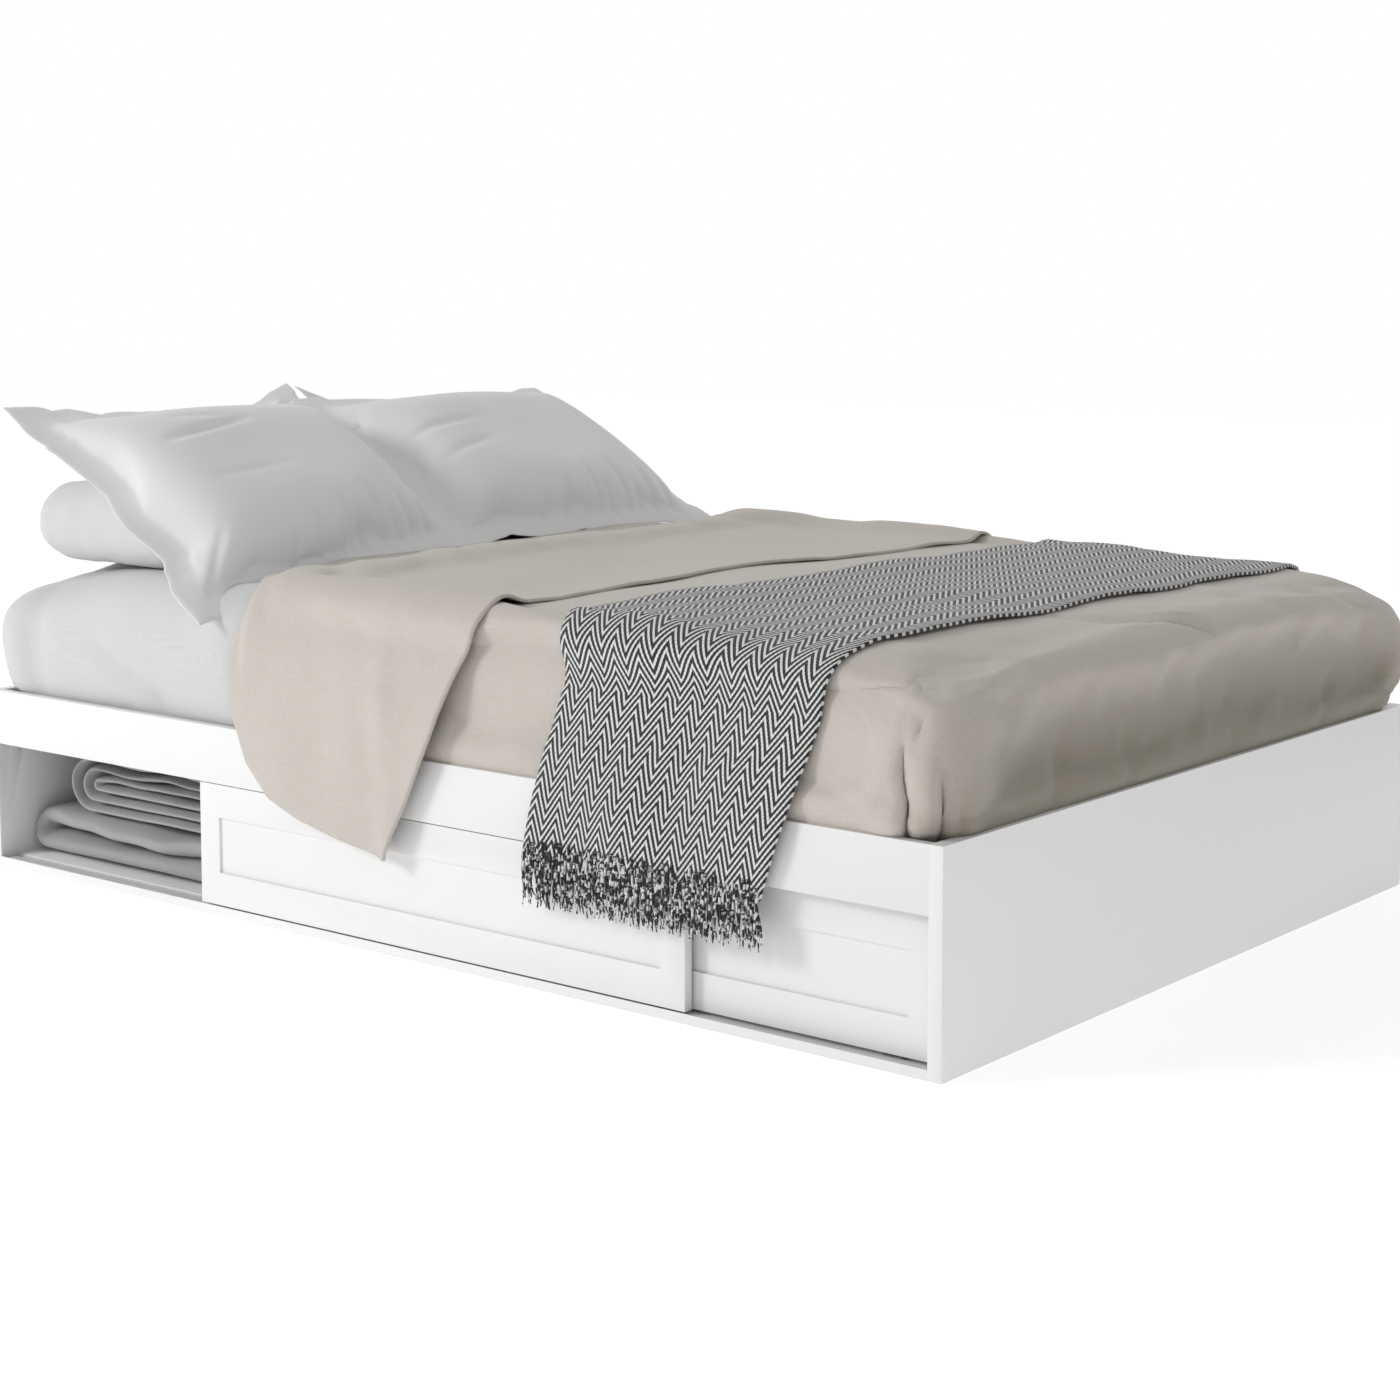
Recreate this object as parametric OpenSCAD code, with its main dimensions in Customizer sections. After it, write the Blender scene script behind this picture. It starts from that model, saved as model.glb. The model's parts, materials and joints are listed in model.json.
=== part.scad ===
// Low platform bed for a double mattress, with storage under it behind by-pass sliding doors.
// Frame: +Z up, +Y towards the head, +X towards the right-hand long side.
// Origin: centre of the footprint, on the floor.

/* [Mattress] */
// Width of the mattress
mattress_w = 1400; // [1100:10:1800]
// Length of the mattress
mattress_l = 2000; // [1900:10:2400]
// Height of the mattress above the slats
mattress_t = 258; // [180:2:320]
// Radius of the mattress's soft edges
mattress_r = 55; // [20:5:80]
// Room for tucked bedding between the mattress and the frame, each side
tuck_gap = 12; // [8:1:20]
// Room between the nominal mattress and the frame, each side
mattress_clear = 4; // [2:1:15]
// Space between the mattress and each end panel
mattress_end_clear = 3; // [2:1:15]

/* [Frame boards] */
// Height of the frame
frame_h = 320; // [260:5:400]
// Thickness of the head and foot panels
end_panel_t = 22; // [16:1:30]
// Height of the side rail that shows above the doors
rail_h = 96; // [75:1:120]
// Thickness of the side rail
rail_t = 16; // [14:1:22]
// Thickness of the header board behind the side rail
header_t = 24; // [20:1:30]
// Thickness of the base boards
base_t = 15; // [13:1:20]
// Thickness of the lengthwise spine
spine_t = 16; // [14:1:22]
// Thickness of the cross dividers
divider_t = 16; // [12:1:22]
// Gap between a cross divider and the inner door
divider_clear = 5; // [3:1:15]
// Joint gap between boards that only meet
board_gap = 0.2; // [0.1:0.1:1]

/* [Slats] */
// Number of slats
slat_count = 14; // [8:1:18]
// Width of a slat
slat_w = 70; // [50:1:90]
// Thickness of a slat
slat_t = 18; // [15:1:22]
// Depth of the slats' top below the frame's top
slat_drop = 30; // [15:1:50]
// Gap between a slat's end and the side rail
slat_clear = 4; // [2:1:10]
// Gap between the end panels and the outer slats
slat_end_gap = 20; // [5:5:60]

/* [Sliding doors] */
// Thickness of a door
door_t = 16; // [14:1:20]
// Gap between the outer and the inner door
door_gap = 5; // [4:1:10]
// Depth of the outer door's face behind the side of the bed
door_setback = 2; // [1:0.5:6]
// Length by which two closed doors overlap
door_overlap = 80; // [40:5:150]
// Gap between a closed door and the end panel
door_end_gap = 1; // [0.5:0.5:4]
// Gap under a door
door_floor_gap = 2; // [1:0.5:4]
// Gap over a door
door_head_gap = 2; // [1:0.5:4]
// Width of a door's upright border
door_stile_w = 46; // [30:1:70]
// Width of a door's lower and upper border
door_border_w = 55; // [30:1:62]
// Depth of a door's sunk field
door_field_depth = 4.5; // [2:0.5:6]
// Distance of the left outer door from the foot panel, as it stands
left_outer_shift = 414; // [0:1:700]

/* [Tracks and rollers] */
// Width of track beyond the two grooves' centres, each side
track_margin = 7.5; // [6:0.5:10]
// Height of the lower track
lower_track_h = 7; // [6:0.5:9]
// Depth of the lower track's top below the base board's top
lower_track_sink = 3; // [0:0.5:4]
// Depth of the rolling grooves
roll_groove_d = 5; // [3:0.5:5.5]
// Width of the grooves in both tracks
groove_w = 6; // [5.5:0.1:8]
// Height of the upper track
upper_track_h = 10; // [9:0.5:12]
// Depth of the guide grooves
guide_groove_d = 8; // [7:0.5:9]
// Gap between a track and its rebate
track_clear = 0.1; // [0.05:0.05:0.5]
// Radius of a door wheel
wheel_r = 12; // [9:0.5:12.5]
// Width of a door wheel
wheel_t = 4; // [3:0.5:4.5]
// Gap between a wheel and the groove's floor
wheel_clear = 0.3; // [0.2:0.05:0.5]
// Radius of a wheel's axle
axle_r = 1.5; // [1:0.25:2]
// Gap round an axle in its wheel and in its carriage
axle_clear = 0.05; // [0.02:0.01:0.1]
// Distance of a wheel from the door's end
wheel_inset = 70; // [40:5:150]
// Length of a roller carriage
carriage_l = 36; // [32:1:50]
// Width of a roller carriage
carriage_w = 10.6; // [8:0.1:11]
// Height of a roller carriage
carriage_h = 26; // [24:1:32]
// Drop of a roller carriage below the door
carriage_drop = 3; // [2:0.5:4]
// Gap round a carriage in its mortise
carriage_clear = 0.2; // [0.1:0.1:0.5]
// Gap beside and over a wheel in its carriage
wheel_side_clear = 0.6; // [0.3:0.1:1]
// Radius of a top guide pin
guide_r = 2.5; // [2:0.1:2.6]
// Height of a guide pin over the door
guide_rise = 7; // [5:0.5:8]
// Depth of a guide pin in the door
guide_seat = 13; // [8:1:25]
// Distance of a guide pin from the door's end
guide_inset = 40; // [20:5:100]
// Gap round a fitting in the hole that it seats in
seat_clear = 0.1; // [0.05:0.05:0.3]

/* [Fittings] */
// Height of the floor glides
glide_h = 2; // [1:0.5:5]
// Radius of the floor glides
glide_r = 7; // [5:0.5:7.5]
// Number of glides along each base board's long edges
glide_rows = 4; // [3:1:8]
// Space between a glide and the bed's side
glide_edge_clear = 8; // [4:1:20]
// Radius of the wood dowels
dowel_r = 4; // [3:0.5:5]
// Length of the wood dowels
dowel_l = 30; // [20:2:36]
// Radius of a cam lock
cam_r = 7.5; // [6:0.5:9]
// Depth of a cam beyond the bolt that it draws in
cam_beyond = 1.5; // [1:0.25:2.5]
// Distance of a cam lock from the board's end
cam_inset = 34; // [24:1:50]
// Radius of a cam bolt
cam_bolt_r = 3; // [2:0.5:3.5]
// Depth of a cam bolt in the end panel
cam_bolt_seat = 11; // [8:1:12]
// Radius of a slat screw's shank
screw_r = 2; // [1.5:0.25:2.5]
// Length of a slat screw
screw_l = 34; // [26:1:40]
// Radius of a countersunk head
screw_head_r = 4; // [3:0.5:5]
// Leg length of a corner bracket
bracket_leg = 36; // [28:1:50]
// Thickness of a corner bracket
bracket_t = 2.5; // [1.5:0.5:4]
// Width of a corner bracket
bracket_w = 24; // [16:1:28]
// Length of a bracket screw
bracket_screw_l = 14; // [8:1:16]
// Holes of a corner bracket, as a share of its leg
bracket_hole_share = 0.62; // [0.5:0.01:0.7]
// Height of a bracket screw's head
bracket_screw_head_h = 1.8; // [1:0.1:2.5]

/* [Bedding] */
// Space between soft pieces, and between them and the boards
cloth_clear = 0.6; // [0.4:0.1:1.5]
// Thickness of the duvet on top
duvet_t = 22; // [12:1:40]
// Distance of the duvet's head edge from the head panel
duvet_below_head = 553; // [500:5:700]
// Width of the turned-down band along the bed
turndown_w = 640; // [400:10:640]
// Thickness of the turned-down band
turndown_t = 12; // [6:1:25]
// Distance between the hanging cloths and the side of the bed
hang_gap = 6; // [4:1:15]
// Thickness of a hanging cloth
hang_t = 6; // [3:1:12]
// Height of the turned-down band's lowest corner
turndown_low_z = 158; // [130:1:220]
// Distance of the throw from the foot panel
throw_from_foot = 143; // [60:1:200]
// Width of the throw
throw_w = 545; // [400:5:560]
// Width of the throw where it hangs, at its fringe
throw_low_w = 440; // [300:5:540]
// Height of the fringe's lower end
throw_low_z = 148; // [130:1:220]
// Radius at which cloth turns over the bed's edge
drape_r = 80; // [50:5:120]
// Width of a pillow
pillow_w = 700; // [450:10:750]
// Gap between the left and the right pillows
pillow_gap = 16; // [6:1:60]
// Space under a flat pillow
pillow_rest_clear = 3; // [1:1:6]
// Space between the pillows and the head panel
pillow_head_clear = 6; // [2:1:8]
// Width of a flat pillow
flat_pillow_w = 640; // [420:10:700]
// Depth of a flat pillow
flat_pillow_h = 380; // [300:10:400]
// Thickness of a flat pillow
flat_pillow_t = 100; // [80:1:104]
// Depth of a front pillow
front_pillow_h = 520; // [450:10:540]
// Bulge of a front pillow above its hem
front_pillow_up = 80; // [50:5:100]
// Lean of a front pillow
front_lean = 31; // [30:1:34]
// Width of a back pillow
back_pillow_w = 680; // [440:10:740]
// Depth of a back pillow
back_pillow_h = 240; // [200:5:250]
// Thickness of a back pillow
back_pillow_t = 70; // [50:2:72]
// Lean of a back pillow
back_lean = 20; // [18:1:21]
// Height of a back pillow's lower hem above the flat pillow
back_pillow_lift = 42; // [40:1:46]
// Gap between a front pillow's hem and the duvet
front_pillow_gap = 5; // [2:1:20]
// Height of the front pillows' lower edge over the mattress
front_pillow_lift = 14; // [12:1:20]
// Width of the folded blankets, into the bed
blanket_w = 380; // [250:10:400]
// Space between the lower blanket and the inner door's line
blanket_setback = 16; // [5:1:60]
// Space between the lower blanket's fold and the head panel
lower_blanket_gap = 20; // [10:5:60]
// Space between the upper blanket's fold and the head panel
upper_blanket_gap = 110; // [60:5:160]
// Upper blanket's step back from the lower one
upper_blanket_inset = 18; // [0:1:40]
// Length of the lower blanket
lower_blanket_l = 630; // [400:10:640]
// Height of the lower blanket
lower_blanket_h = 84; // [50:2:90]
// Length of the upper blanket
upper_blanket_l = 560; // [350:10:600]
// Radius of the blankets' soft edges
blanket_r = 30; // [10:2:34]
// Gap over the blankets
blanket_head_gap = 14; // [6:1:40]

/* [Hidden] */
$fn = 48;
SOFT_FN = 24;
LEFT = -1;
RIGHT = 1;
OUTER = 0;
INNER = 1;
FOOT = -1;
HEAD = 1;
// Where the cams sit: shares of the floor's half width, and of the spine's height
BASE_CAM_SHARES = [0.2, 0.8];
SPINE_CAM_SHARES = [0.25, 0.75];
// Where the dowels sit: shares of the rail's height from its foot and from its top
DOWEL_SHARES = [0.4, 0.8];
// Holes of a wheel's web: how many, the ring they sit on and their size, as shares of the wheel
WEB_HOLES = 6;
WEB_RING_SHARE = 0.58;
WEB_HOLE_SHARE = 0.17;
// Lower edge of the turned-down band where it hangs: shares of its width and of its drop
TURNDOWN_EDGE = [[0.016, 1], [0.148, 0.452], [0.289, 0], [0.484, 0.096], [0.68, 0.187],
                 [0.789, 0.316], [0.859, 0.648], [0.906, 1]];
// A pillow's crown: shares of its width, its depth and its thickness for two discs inside it
PILLOW_CROWN = [[0.7, 0.62, 1], [0.9, 0.86, 0.7]];
// Radius of a pillow's hem
HEM_R = 7;
// A blanket's rounding is at most this share of its thickness
BLANKET_ROUND_SHARE = 0.45;
// How far a slat screw's head lies under the slat's top
SCREW_SINK = 0.4;
// Share of the throw's narrowing that falls on its foot side
THROW_SWING = 0.75;
// Cuts run this far past the face that they open
PAST = 1;

bed_w = mattress_w + 2 * (mattress_clear + rail_t);
inner_l = mattress_l + 2 * mattress_end_clear;
half_w = bed_w / 2;
half_l = inner_l / 2;
floor_z = glide_h + base_t;
opening_top = frame_h - rail_h;
slat_top = frame_h - slat_drop;
slat_under = slat_top - slat_t;

leaf_pitch = door_t + door_gap;
outer_x = half_w - door_setback - door_t / 2;
track_w = leaf_pitch + 2 * track_margin;
track_x = outer_x - leaf_pitch / 2;
track_out = track_x + track_w / 2;
track_in = track_x - track_w / 2;
header_z = opening_top + upper_track_h;
header_out = half_w - rail_t;
header_in = header_out - header_t;
lower_track_z = floor_z - lower_track_sink - lower_track_h;
groove_floor_z = lower_track_z + lower_track_h - roll_groove_d;

door_l = (inner_l - 2 * door_end_gap + door_overlap) / 2;
door_z = floor_z + door_floor_gap;
door_h = opening_top - door_head_gap - door_z;
door_travel = inner_l - 2 * door_end_gap - door_l;
axle_z = groove_floor_z + wheel_clear + wheel_r;
foot_limit = -half_l + door_end_gap;
carriage_z = door_z - carriage_drop;

slat_pitch = (inner_l - 2 * slat_end_gap - slat_w) / (slat_count - 1);
slat_l = 2 * (header_out - slat_clear);
slat_screw_x = (header_out + header_in) / 2;
divider_front = outer_x - leaf_pitch - door_t / 2 - divider_clear;

mattress_x = header_out - tuck_gap - 1;
mattress_y = half_l - tuck_gap + 1;
mattress_top = slat_top + mattress_t;
duvet_top = mattress_top + duvet_t;
duvet_head_y = half_l - duvet_below_head;
duvet_skirt_z = slat_top + 6;
hang_x = half_w + hang_gap + hang_t;
pillow_x = (pillow_gap + pillow_w) / 2;

// ---------- small helpers ----------

// A box from its low corner to its high corner
module block(low, high) {
    translate(low) cube([for (i = [0:2]) high[i] - low[i]]);
}

// Children drawn for the left side, or mirrored to the right
module on_side(side) {
    if (side == LEFT) children();
    else mirror([1, 0, 0]) children();
}

// Children drawn for the foot end, or mirrored to the head
module on_end(face) {
    if (face == FOOT) children();
    else mirror([0, 1, 0]) children();
}

// A cylinder along Y that starts at a point and runs towards the given end
module rod_y(x, y, z, r, length, towards) {
    translate([x, y, z]) rotate([towards == HEAD ? -90 : 90, 0, 0]) cylinder(h = length, r = r);
}

// A cylinder along X, centred on a point
module rod_x(x, y, z, r, length) {
    translate([x, y, z]) rotate([0, 90, 0]) cylinder(h = length, r = r, center = true);
}

// Points of an arc, by angle
function arc(cx, cy, r, from, to, steps) =
    [for (i = [0:steps]) let (a = from + (to - from) * i / steps) [cx + r * cos(a), cy + r * sin(a)]];

// ---------- where the fittings sit ----------

// Dowels: x, z, board's end face
rail_dowels = [for (side = [LEFT, RIGHT], share = DOWEL_SHARES)
    [side * (half_w - rail_t / 2), opening_top + rail_h * share]];
header_dowels = [for (side = [LEFT, RIGHT]) [side * slat_screw_x, (header_z + slat_under) / 2]];
dowel_spots = concat(rail_dowels, header_dowels);

// Cam fittings of the base boards: x of each bolt, at mid board
base_cam_x = [for (side = [LEFT, RIGHT], share = BASE_CAM_SHARES) side * track_in * share];
base_cam_z = glide_h + base_t / 2;
// Cam fittings of the spine: heights
spine_cam_z = [for (share = SPINE_CAM_SHARES) floor_z + (slat_under - floor_z) * share];
// A cam reaches from a board's face to past the bolt at its middle
function cam_depth(board_t) = board_t / 2 + cam_bolt_r + cam_beyond;

// Slat and bracket positions
slat_ys = [for (i = [0:slat_count - 1]) -half_l + slat_end_gap + slat_w / 2 + i * slat_pitch];
bracket_z = (header_z + slat_under) / 2;
bracket_hole = bracket_leg * bracket_hole_share;

module dowel_holes(face) {
    for (p = dowel_spots)
        rod_y(p[0], face * (half_l - dowel_l / 2 - seat_clear), p[1], dowel_r + seat_clear,
              dowel_l + 2 * seat_clear, face);
}

module cam_bolt_holes(face) {
    for (x = base_cam_x)
        rod_y(x, face * (half_l - cam_inset), base_cam_z, cam_bolt_r + seat_clear,
              cam_inset + cam_bolt_seat + seat_clear, face);
    for (z = spine_cam_z)
        rod_y(0, face * (half_l - cam_inset), z, cam_bolt_r + seat_clear,
              cam_inset + cam_bolt_seat + seat_clear, face);
}

module cam_lock_shapes(grow) {
    for (face = [FOOT, HEAD]) {
        for (x = base_cam_x)
            translate([x, face * (half_l - cam_inset), glide_h - (grow > 0 ? PAST : 0)])
                cylinder(h = cam_depth(base_t) + (grow > 0 ? PAST + grow : 0), r = cam_r + grow);
        for (z = spine_cam_z)
            rod_x((cam_depth(spine_t) - spine_t + (grow > 0 ? grow - PAST : 0)) / 2,
                  face * (half_l - cam_inset), z, cam_r + grow,
                  cam_depth(spine_t) + (grow > 0 ? PAST + grow : 0));
    }
}

// ---------- boards ----------

module end_panel(face) {
    color([0.93, 0.93, 0.92]) difference() {
        block([-half_w, face == HEAD ? half_l : -half_l - end_panel_t, glide_h],
              [half_w, face == HEAD ? half_l + end_panel_t : -half_l, frame_h]);
        dowel_holes(face);
        cam_bolt_holes(face);
        bracket_pilots(face);
    }
}

module side_rail(side) {
    color([0.94, 0.94, 0.93]) difference() {
        on_side(side) difference() {
            block([-half_w, -half_l, opening_top], [-header_out, half_l, frame_h]);
            block([-track_out - track_clear, -half_l - PAST, opening_top - PAST],
                  [-header_out + PAST, half_l + PAST, header_z]);
        }
        dowel_holes(FOOT);
        dowel_holes(HEAD);
    }
}

module header_board(side) {
    color([0.9, 0.9, 0.88]) difference() {
        on_side(side) block([-header_out, -half_l, header_z], [-header_in, half_l, slat_under]);
        dowel_holes(FOOT);
        dowel_holes(HEAD);
        for (y = slat_ys)
            translate([side * slat_screw_x, y, slat_top - screw_l - PAST])
                cylinder(h = screw_l, r = screw_r + seat_clear);
        for (face = [FOOT, HEAD])
            rod_x(side * (header_in + bracket_screw_l / 2 - bracket_t), face * (half_l - bracket_hole),
                  bracket_z, screw_r + seat_clear, bracket_screw_l + PAST);
    }
}

module base_board(side) {
    color([0.92, 0.92, 0.91]) difference() {
        on_side(side) difference() {
            block([-half_w, -half_l, glide_h], [-board_gap / 2, half_l, floor_z]);
            block([-track_out - track_clear, -half_l - PAST, lower_track_z],
                  [-track_in + track_clear, half_l + PAST, floor_z + PAST]);
        }
        cam_bolt_holes(FOOT);
        cam_bolt_holes(HEAD);
        cam_lock_shapes(seat_clear);
    }
}

module centre_spine() {
    color([0.9, 0.9, 0.88]) difference() {
        block([-spine_t / 2, -half_l, floor_z], [spine_t / 2, half_l, slat_under]);
        cam_bolt_holes(FOOT);
        cam_bolt_holes(HEAD);
        cam_lock_shapes(seat_clear);
    }
}

module cross_divider(side) {
    color([0.9, 0.9, 0.88]) on_side(side)
        block([-divider_front, -divider_t / 2, floor_z], [-spine_t / 2, divider_t / 2, slat_under]);
}

// ---------- tracks ----------

module lower_track(side) {
    color([0.82, 0.82, 0.82]) on_side(side) difference() {
        block([-track_out, -half_l, lower_track_z], [-track_in, half_l, lower_track_z + lower_track_h]);
        for (leaf = [OUTER, INNER])
            block([-outer_x + leaf * leaf_pitch - groove_w / 2, -half_l - PAST, groove_floor_z],
                  [-outer_x + leaf * leaf_pitch + groove_w / 2, half_l + PAST, floor_z]);
    }
}

module upper_track(side) {
    color([0.82, 0.82, 0.82]) on_side(side) difference() {
        block([-track_out, -half_l, opening_top], [-track_in, half_l, header_z]);
        for (leaf = [OUTER, INNER])
            block([-outer_x + leaf * leaf_pitch - groove_w / 2, -half_l - PAST, opening_top - PAST],
                  [-outer_x + leaf * leaf_pitch + groove_w / 2, half_l + PAST,
                   opening_top + guide_groove_d]);
    }
}

// ---------- slats and fixings ----------

module slats() {
    color([0.85, 0.75, 0.58]) for (y = slat_ys) difference() {
        block([-slat_l / 2, y - slat_w / 2, slat_under], [slat_l / 2, y + slat_w / 2, slat_top]);
        for (side = [LEFT, RIGHT]) translate([side * slat_screw_x, y, 0]) {
            translate([0, 0, slat_under - PAST]) cylinder(h = slat_t + 2 * PAST, r = screw_r + seat_clear);
            translate([0, 0, slat_top - screw_head_r]) cylinder(h = screw_head_r + PAST,
                r1 = seat_clear, r2 = screw_head_r + PAST + seat_clear);
        }
    }
}

module slat_screws() {
    color([0.75, 0.75, 0.76]) for (side = [LEFT, RIGHT], y = slat_ys)
        translate([side * slat_screw_x, y, 0]) {
        translate([0, 0, slat_top - screw_l]) cylinder(h = screw_l - screw_head_r + screw_r, r = screw_r);
        translate([0, 0, slat_top - screw_head_r + screw_r]) cylinder(h = screw_head_r - screw_r - SCREW_SINK,
            r1 = screw_r, r2 = screw_head_r - SCREW_SINK);
    }
}

// Steel angle inside each corner, on the header board and the end panel
module corner_bracket(side, face) {
    low = bracket_z - bracket_w / 2;
    high = bracket_z + bracket_w / 2;
    on_side(side) on_end(face) difference() {
        union() {
            block([-header_in, -half_l, low], [-header_in + bracket_t, -half_l + bracket_leg, high]);
            block([-header_in, -half_l, low], [-header_in + bracket_leg, -half_l + bracket_t, high]);
        }
        rod_x(-header_in, -half_l + bracket_hole, bracket_z, screw_r + seat_clear, 4 * bracket_t);
        rod_y(-header_in + bracket_hole, -half_l + 2 * bracket_t, bracket_z, screw_r + seat_clear,
              4 * bracket_t, FOOT);
    }
}

module bracket_pilots(face) {
    for (side = [LEFT, RIGHT])
        rod_y(side * (header_in - bracket_hole), face * (half_l - PAST), bracket_z, screw_r + seat_clear,
              bracket_screw_l - bracket_t + PAST + seat_clear, face);
}

module corner_brackets() {
    color([0.7, 0.71, 0.73]) for (side = [LEFT, RIGHT], face = [FOOT, HEAD]) corner_bracket(side, face);
}

// Round-head screw that points along -Z, with its head's flat side at z = 0
module bracket_screw() {
    translate([0, 0, -bracket_screw_l])
        cylinder(h = bracket_screw_l + bracket_screw_head_h / 2, r = screw_r);
    cylinder(h = bracket_screw_head_h, r = screw_head_r);
}

module bracket_screws() {
    color([0.75, 0.75, 0.76]) for (side = [LEFT, RIGHT], face = [FOOT, HEAD]) {
        translate([side * (header_in - bracket_t), face * (half_l - bracket_hole), bracket_z])
            rotate([0, -side * 90, 0]) bracket_screw();
        translate([side * (header_in - bracket_hole), face * (half_l - bracket_t), bracket_z])
            rotate([face * 90, 0, 0]) bracket_screw();
    }
}

module cam_locks() {
    color([0.72, 0.72, 0.7]) difference() {
        cam_lock_shapes(0);
        for (face = [FOOT, HEAD]) cam_bolt_holes(face);
    }
}

module cam_bolts() {
    color([0.75, 0.75, 0.76]) for (face = [FOOT, HEAD]) {
        for (x = base_cam_x)
            rod_y(x, face * (half_l - cam_inset + seat_clear), base_cam_z, cam_bolt_r,
                  cam_inset + cam_bolt_seat - seat_clear, face);
        for (z = spine_cam_z)
            rod_y(0, face * (half_l - cam_inset + seat_clear), z, cam_bolt_r,
                  cam_inset + cam_bolt_seat - seat_clear, face);
    }
}

module wood_dowels() {
    color([0.83, 0.7, 0.5]) for (face = [FOOT, HEAD], p = dowel_spots)
        rod_y(p[0], face * (half_l - dowel_l / 2), p[1], dowel_r, dowel_l, face);
}

module floor_glides() {
    edge_x = half_w - glide_r - glide_edge_clear;
    seam_x = 3 * glide_r;
    row_pitch = inner_l / (glide_rows + 0.5);
    color([0.55, 0.55, 0.55]) {
        for (x = [-edge_x, -half_w / 3, half_w / 3, edge_x], face = [FOOT, HEAD])
            translate([x, face * (half_l + end_panel_t / 2), 0]) cylinder(h = glide_h, r = glide_r);
        for (i = [0:glide_rows - 1], x = [-edge_x, -seam_x, seam_x, edge_x])
            translate([x, (i - (glide_rows - 1) / 2) * row_pitch, 0])
                cylinder(h = glide_h, r = glide_r);
    }
}

// ---------- sliding doors ----------

// Centre of a leaf across the bed
function leaf_x(side, leaf) = side * (outer_x - leaf * leaf_pitch);
// Foot end of a leaf as it stands
function leaf_y(side, leaf) =
    leaf == INNER ? foot_limit : side == LEFT ? foot_limit + left_outer_shift : foot_limit + door_travel;

module door_slab(side, leaf) {
    x = leaf_x(side, leaf);
    y = leaf_y(side, leaf);
    face_x = x + side * door_t / 2;
    color([0.94, 0.94, 0.93]) difference() {
        block([x - door_t / 2, y, door_z], [x + door_t / 2, y + door_l, door_z + door_h]);
        block([face_x - door_field_depth, y + door_stile_w, door_z + door_border_w],
              [face_x + door_field_depth, y + door_l - door_stile_w, door_z + door_h - door_border_w]);
        for (end = [0, 1]) {
            wy = end == 0 ? y + wheel_inset : y + door_l - wheel_inset;
            gy = end == 0 ? y + guide_inset : y + door_l - guide_inset;
            block([x - carriage_w / 2 - carriage_clear, wy - carriage_l / 2 - carriage_clear, door_z - PAST],
                  [x + carriage_w / 2 + carriage_clear, wy + carriage_l / 2 + carriage_clear,
                   carriage_z + carriage_h + carriage_clear]);
            translate([x, gy, door_z + door_h - guide_seat - seat_clear])
                cylinder(h = guide_seat + PAST, r = guide_r + seat_clear);
        }
    }
}

module door_carriages(side, leaf) {
    x = leaf_x(side, leaf);
    y = leaf_y(side, leaf);
    slot_w = wheel_t + 2 * wheel_side_clear;
    color([0.3, 0.3, 0.31]) for (wy = [y + wheel_inset, y + door_l - wheel_inset]) difference() {
        block([x - carriage_w / 2, wy - carriage_l / 2, carriage_z],
              [x + carriage_w / 2, wy + carriage_l / 2, carriage_z + carriage_h]);
        block([x - slot_w / 2, wy - wheel_r - wheel_side_clear, carriage_z - PAST],
              [x + slot_w / 2, wy + wheel_r + wheel_side_clear, axle_z + wheel_r + wheel_side_clear]);
        rod_x(x, wy, axle_z, axle_r + axle_clear, carriage_w + 2 * PAST);
    }
}

module door_axles(side, leaf) {
    x = leaf_x(side, leaf);
    y = leaf_y(side, leaf);
    color([0.75, 0.75, 0.76]) for (wy = [y + wheel_inset, y + door_l - wheel_inset])
        rod_x(x, wy, axle_z, axle_r, carriage_w);
}

module door_guides(side, leaf) {
    x = leaf_x(side, leaf);
    y = leaf_y(side, leaf);
    color([0.3, 0.3, 0.31]) for (gy = [y + guide_inset, y + door_l - guide_inset])
        translate([x, gy, door_z + door_h - guide_seat]) cylinder(h = guide_seat + guide_rise, r = guide_r);
}

module door_wheel(side, leaf, end) {
    x = leaf_x(side, leaf);
    y = leaf_y(side, leaf);
    wy = end == FOOT ? y + wheel_inset : y + door_l - wheel_inset;
    color([0.85, 0.85, 0.83]) difference() {
        rod_x(x, wy, axle_z, wheel_r, wheel_t);
        rod_x(x, wy, axle_z, axle_r + axle_clear, wheel_t + 2 * PAST);
        for (i = [1:WEB_HOLES]) let (a = i * 360 / WEB_HOLES, ring = wheel_r * WEB_RING_SHARE)
            rod_x(x, wy + ring * cos(a), axle_z + ring * sin(a), wheel_r * WEB_HOLE_SHARE,
                  wheel_t + 2 * PAST);
    }
}

// ---------- bedding ----------

// A box with rounded edges
module soft_box(low, high, r) {
    hull() for (x = [low[0] + r, high[0] - r], y = [low[1] + r, high[1] - r], z = [low[2] + r, high[2] - r])
        translate([x, y, z]) sphere(r = r, $fn = SOFT_FN);
}

module mattress() {
    color([0.88, 0.88, 0.87])
        soft_box([-mattress_x, -mattress_y, slat_top], [mattress_x, mattress_y, mattress_top], mattress_r);
}

// Outline across the bed of a cloth that lies over the top and hangs down both sides
function over_outline(x, top, low, t, r) = concat(
    [[-x, low]], arc(-x + r, top - r, r, 180, 90, 8), arc(x - r, top - r, r, 90, 0, 8),
    [[x, low], [x - t, low]], arc(x - r, top - r, r - t, 0, 90, 8), arc(-x + r, top - r, r - t, 90, 180, 8),
    [[-x + t, low]]);

// Such a cloth between two stations along the bed
module over_cloth(x, top, low, t, r, y0, y1) {
    translate([0, y1, 0]) rotate([90, 0, 0]) linear_extrude(height = y1 - y0)
        polygon(over_outline(x, top, low, t, r));
}

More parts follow.
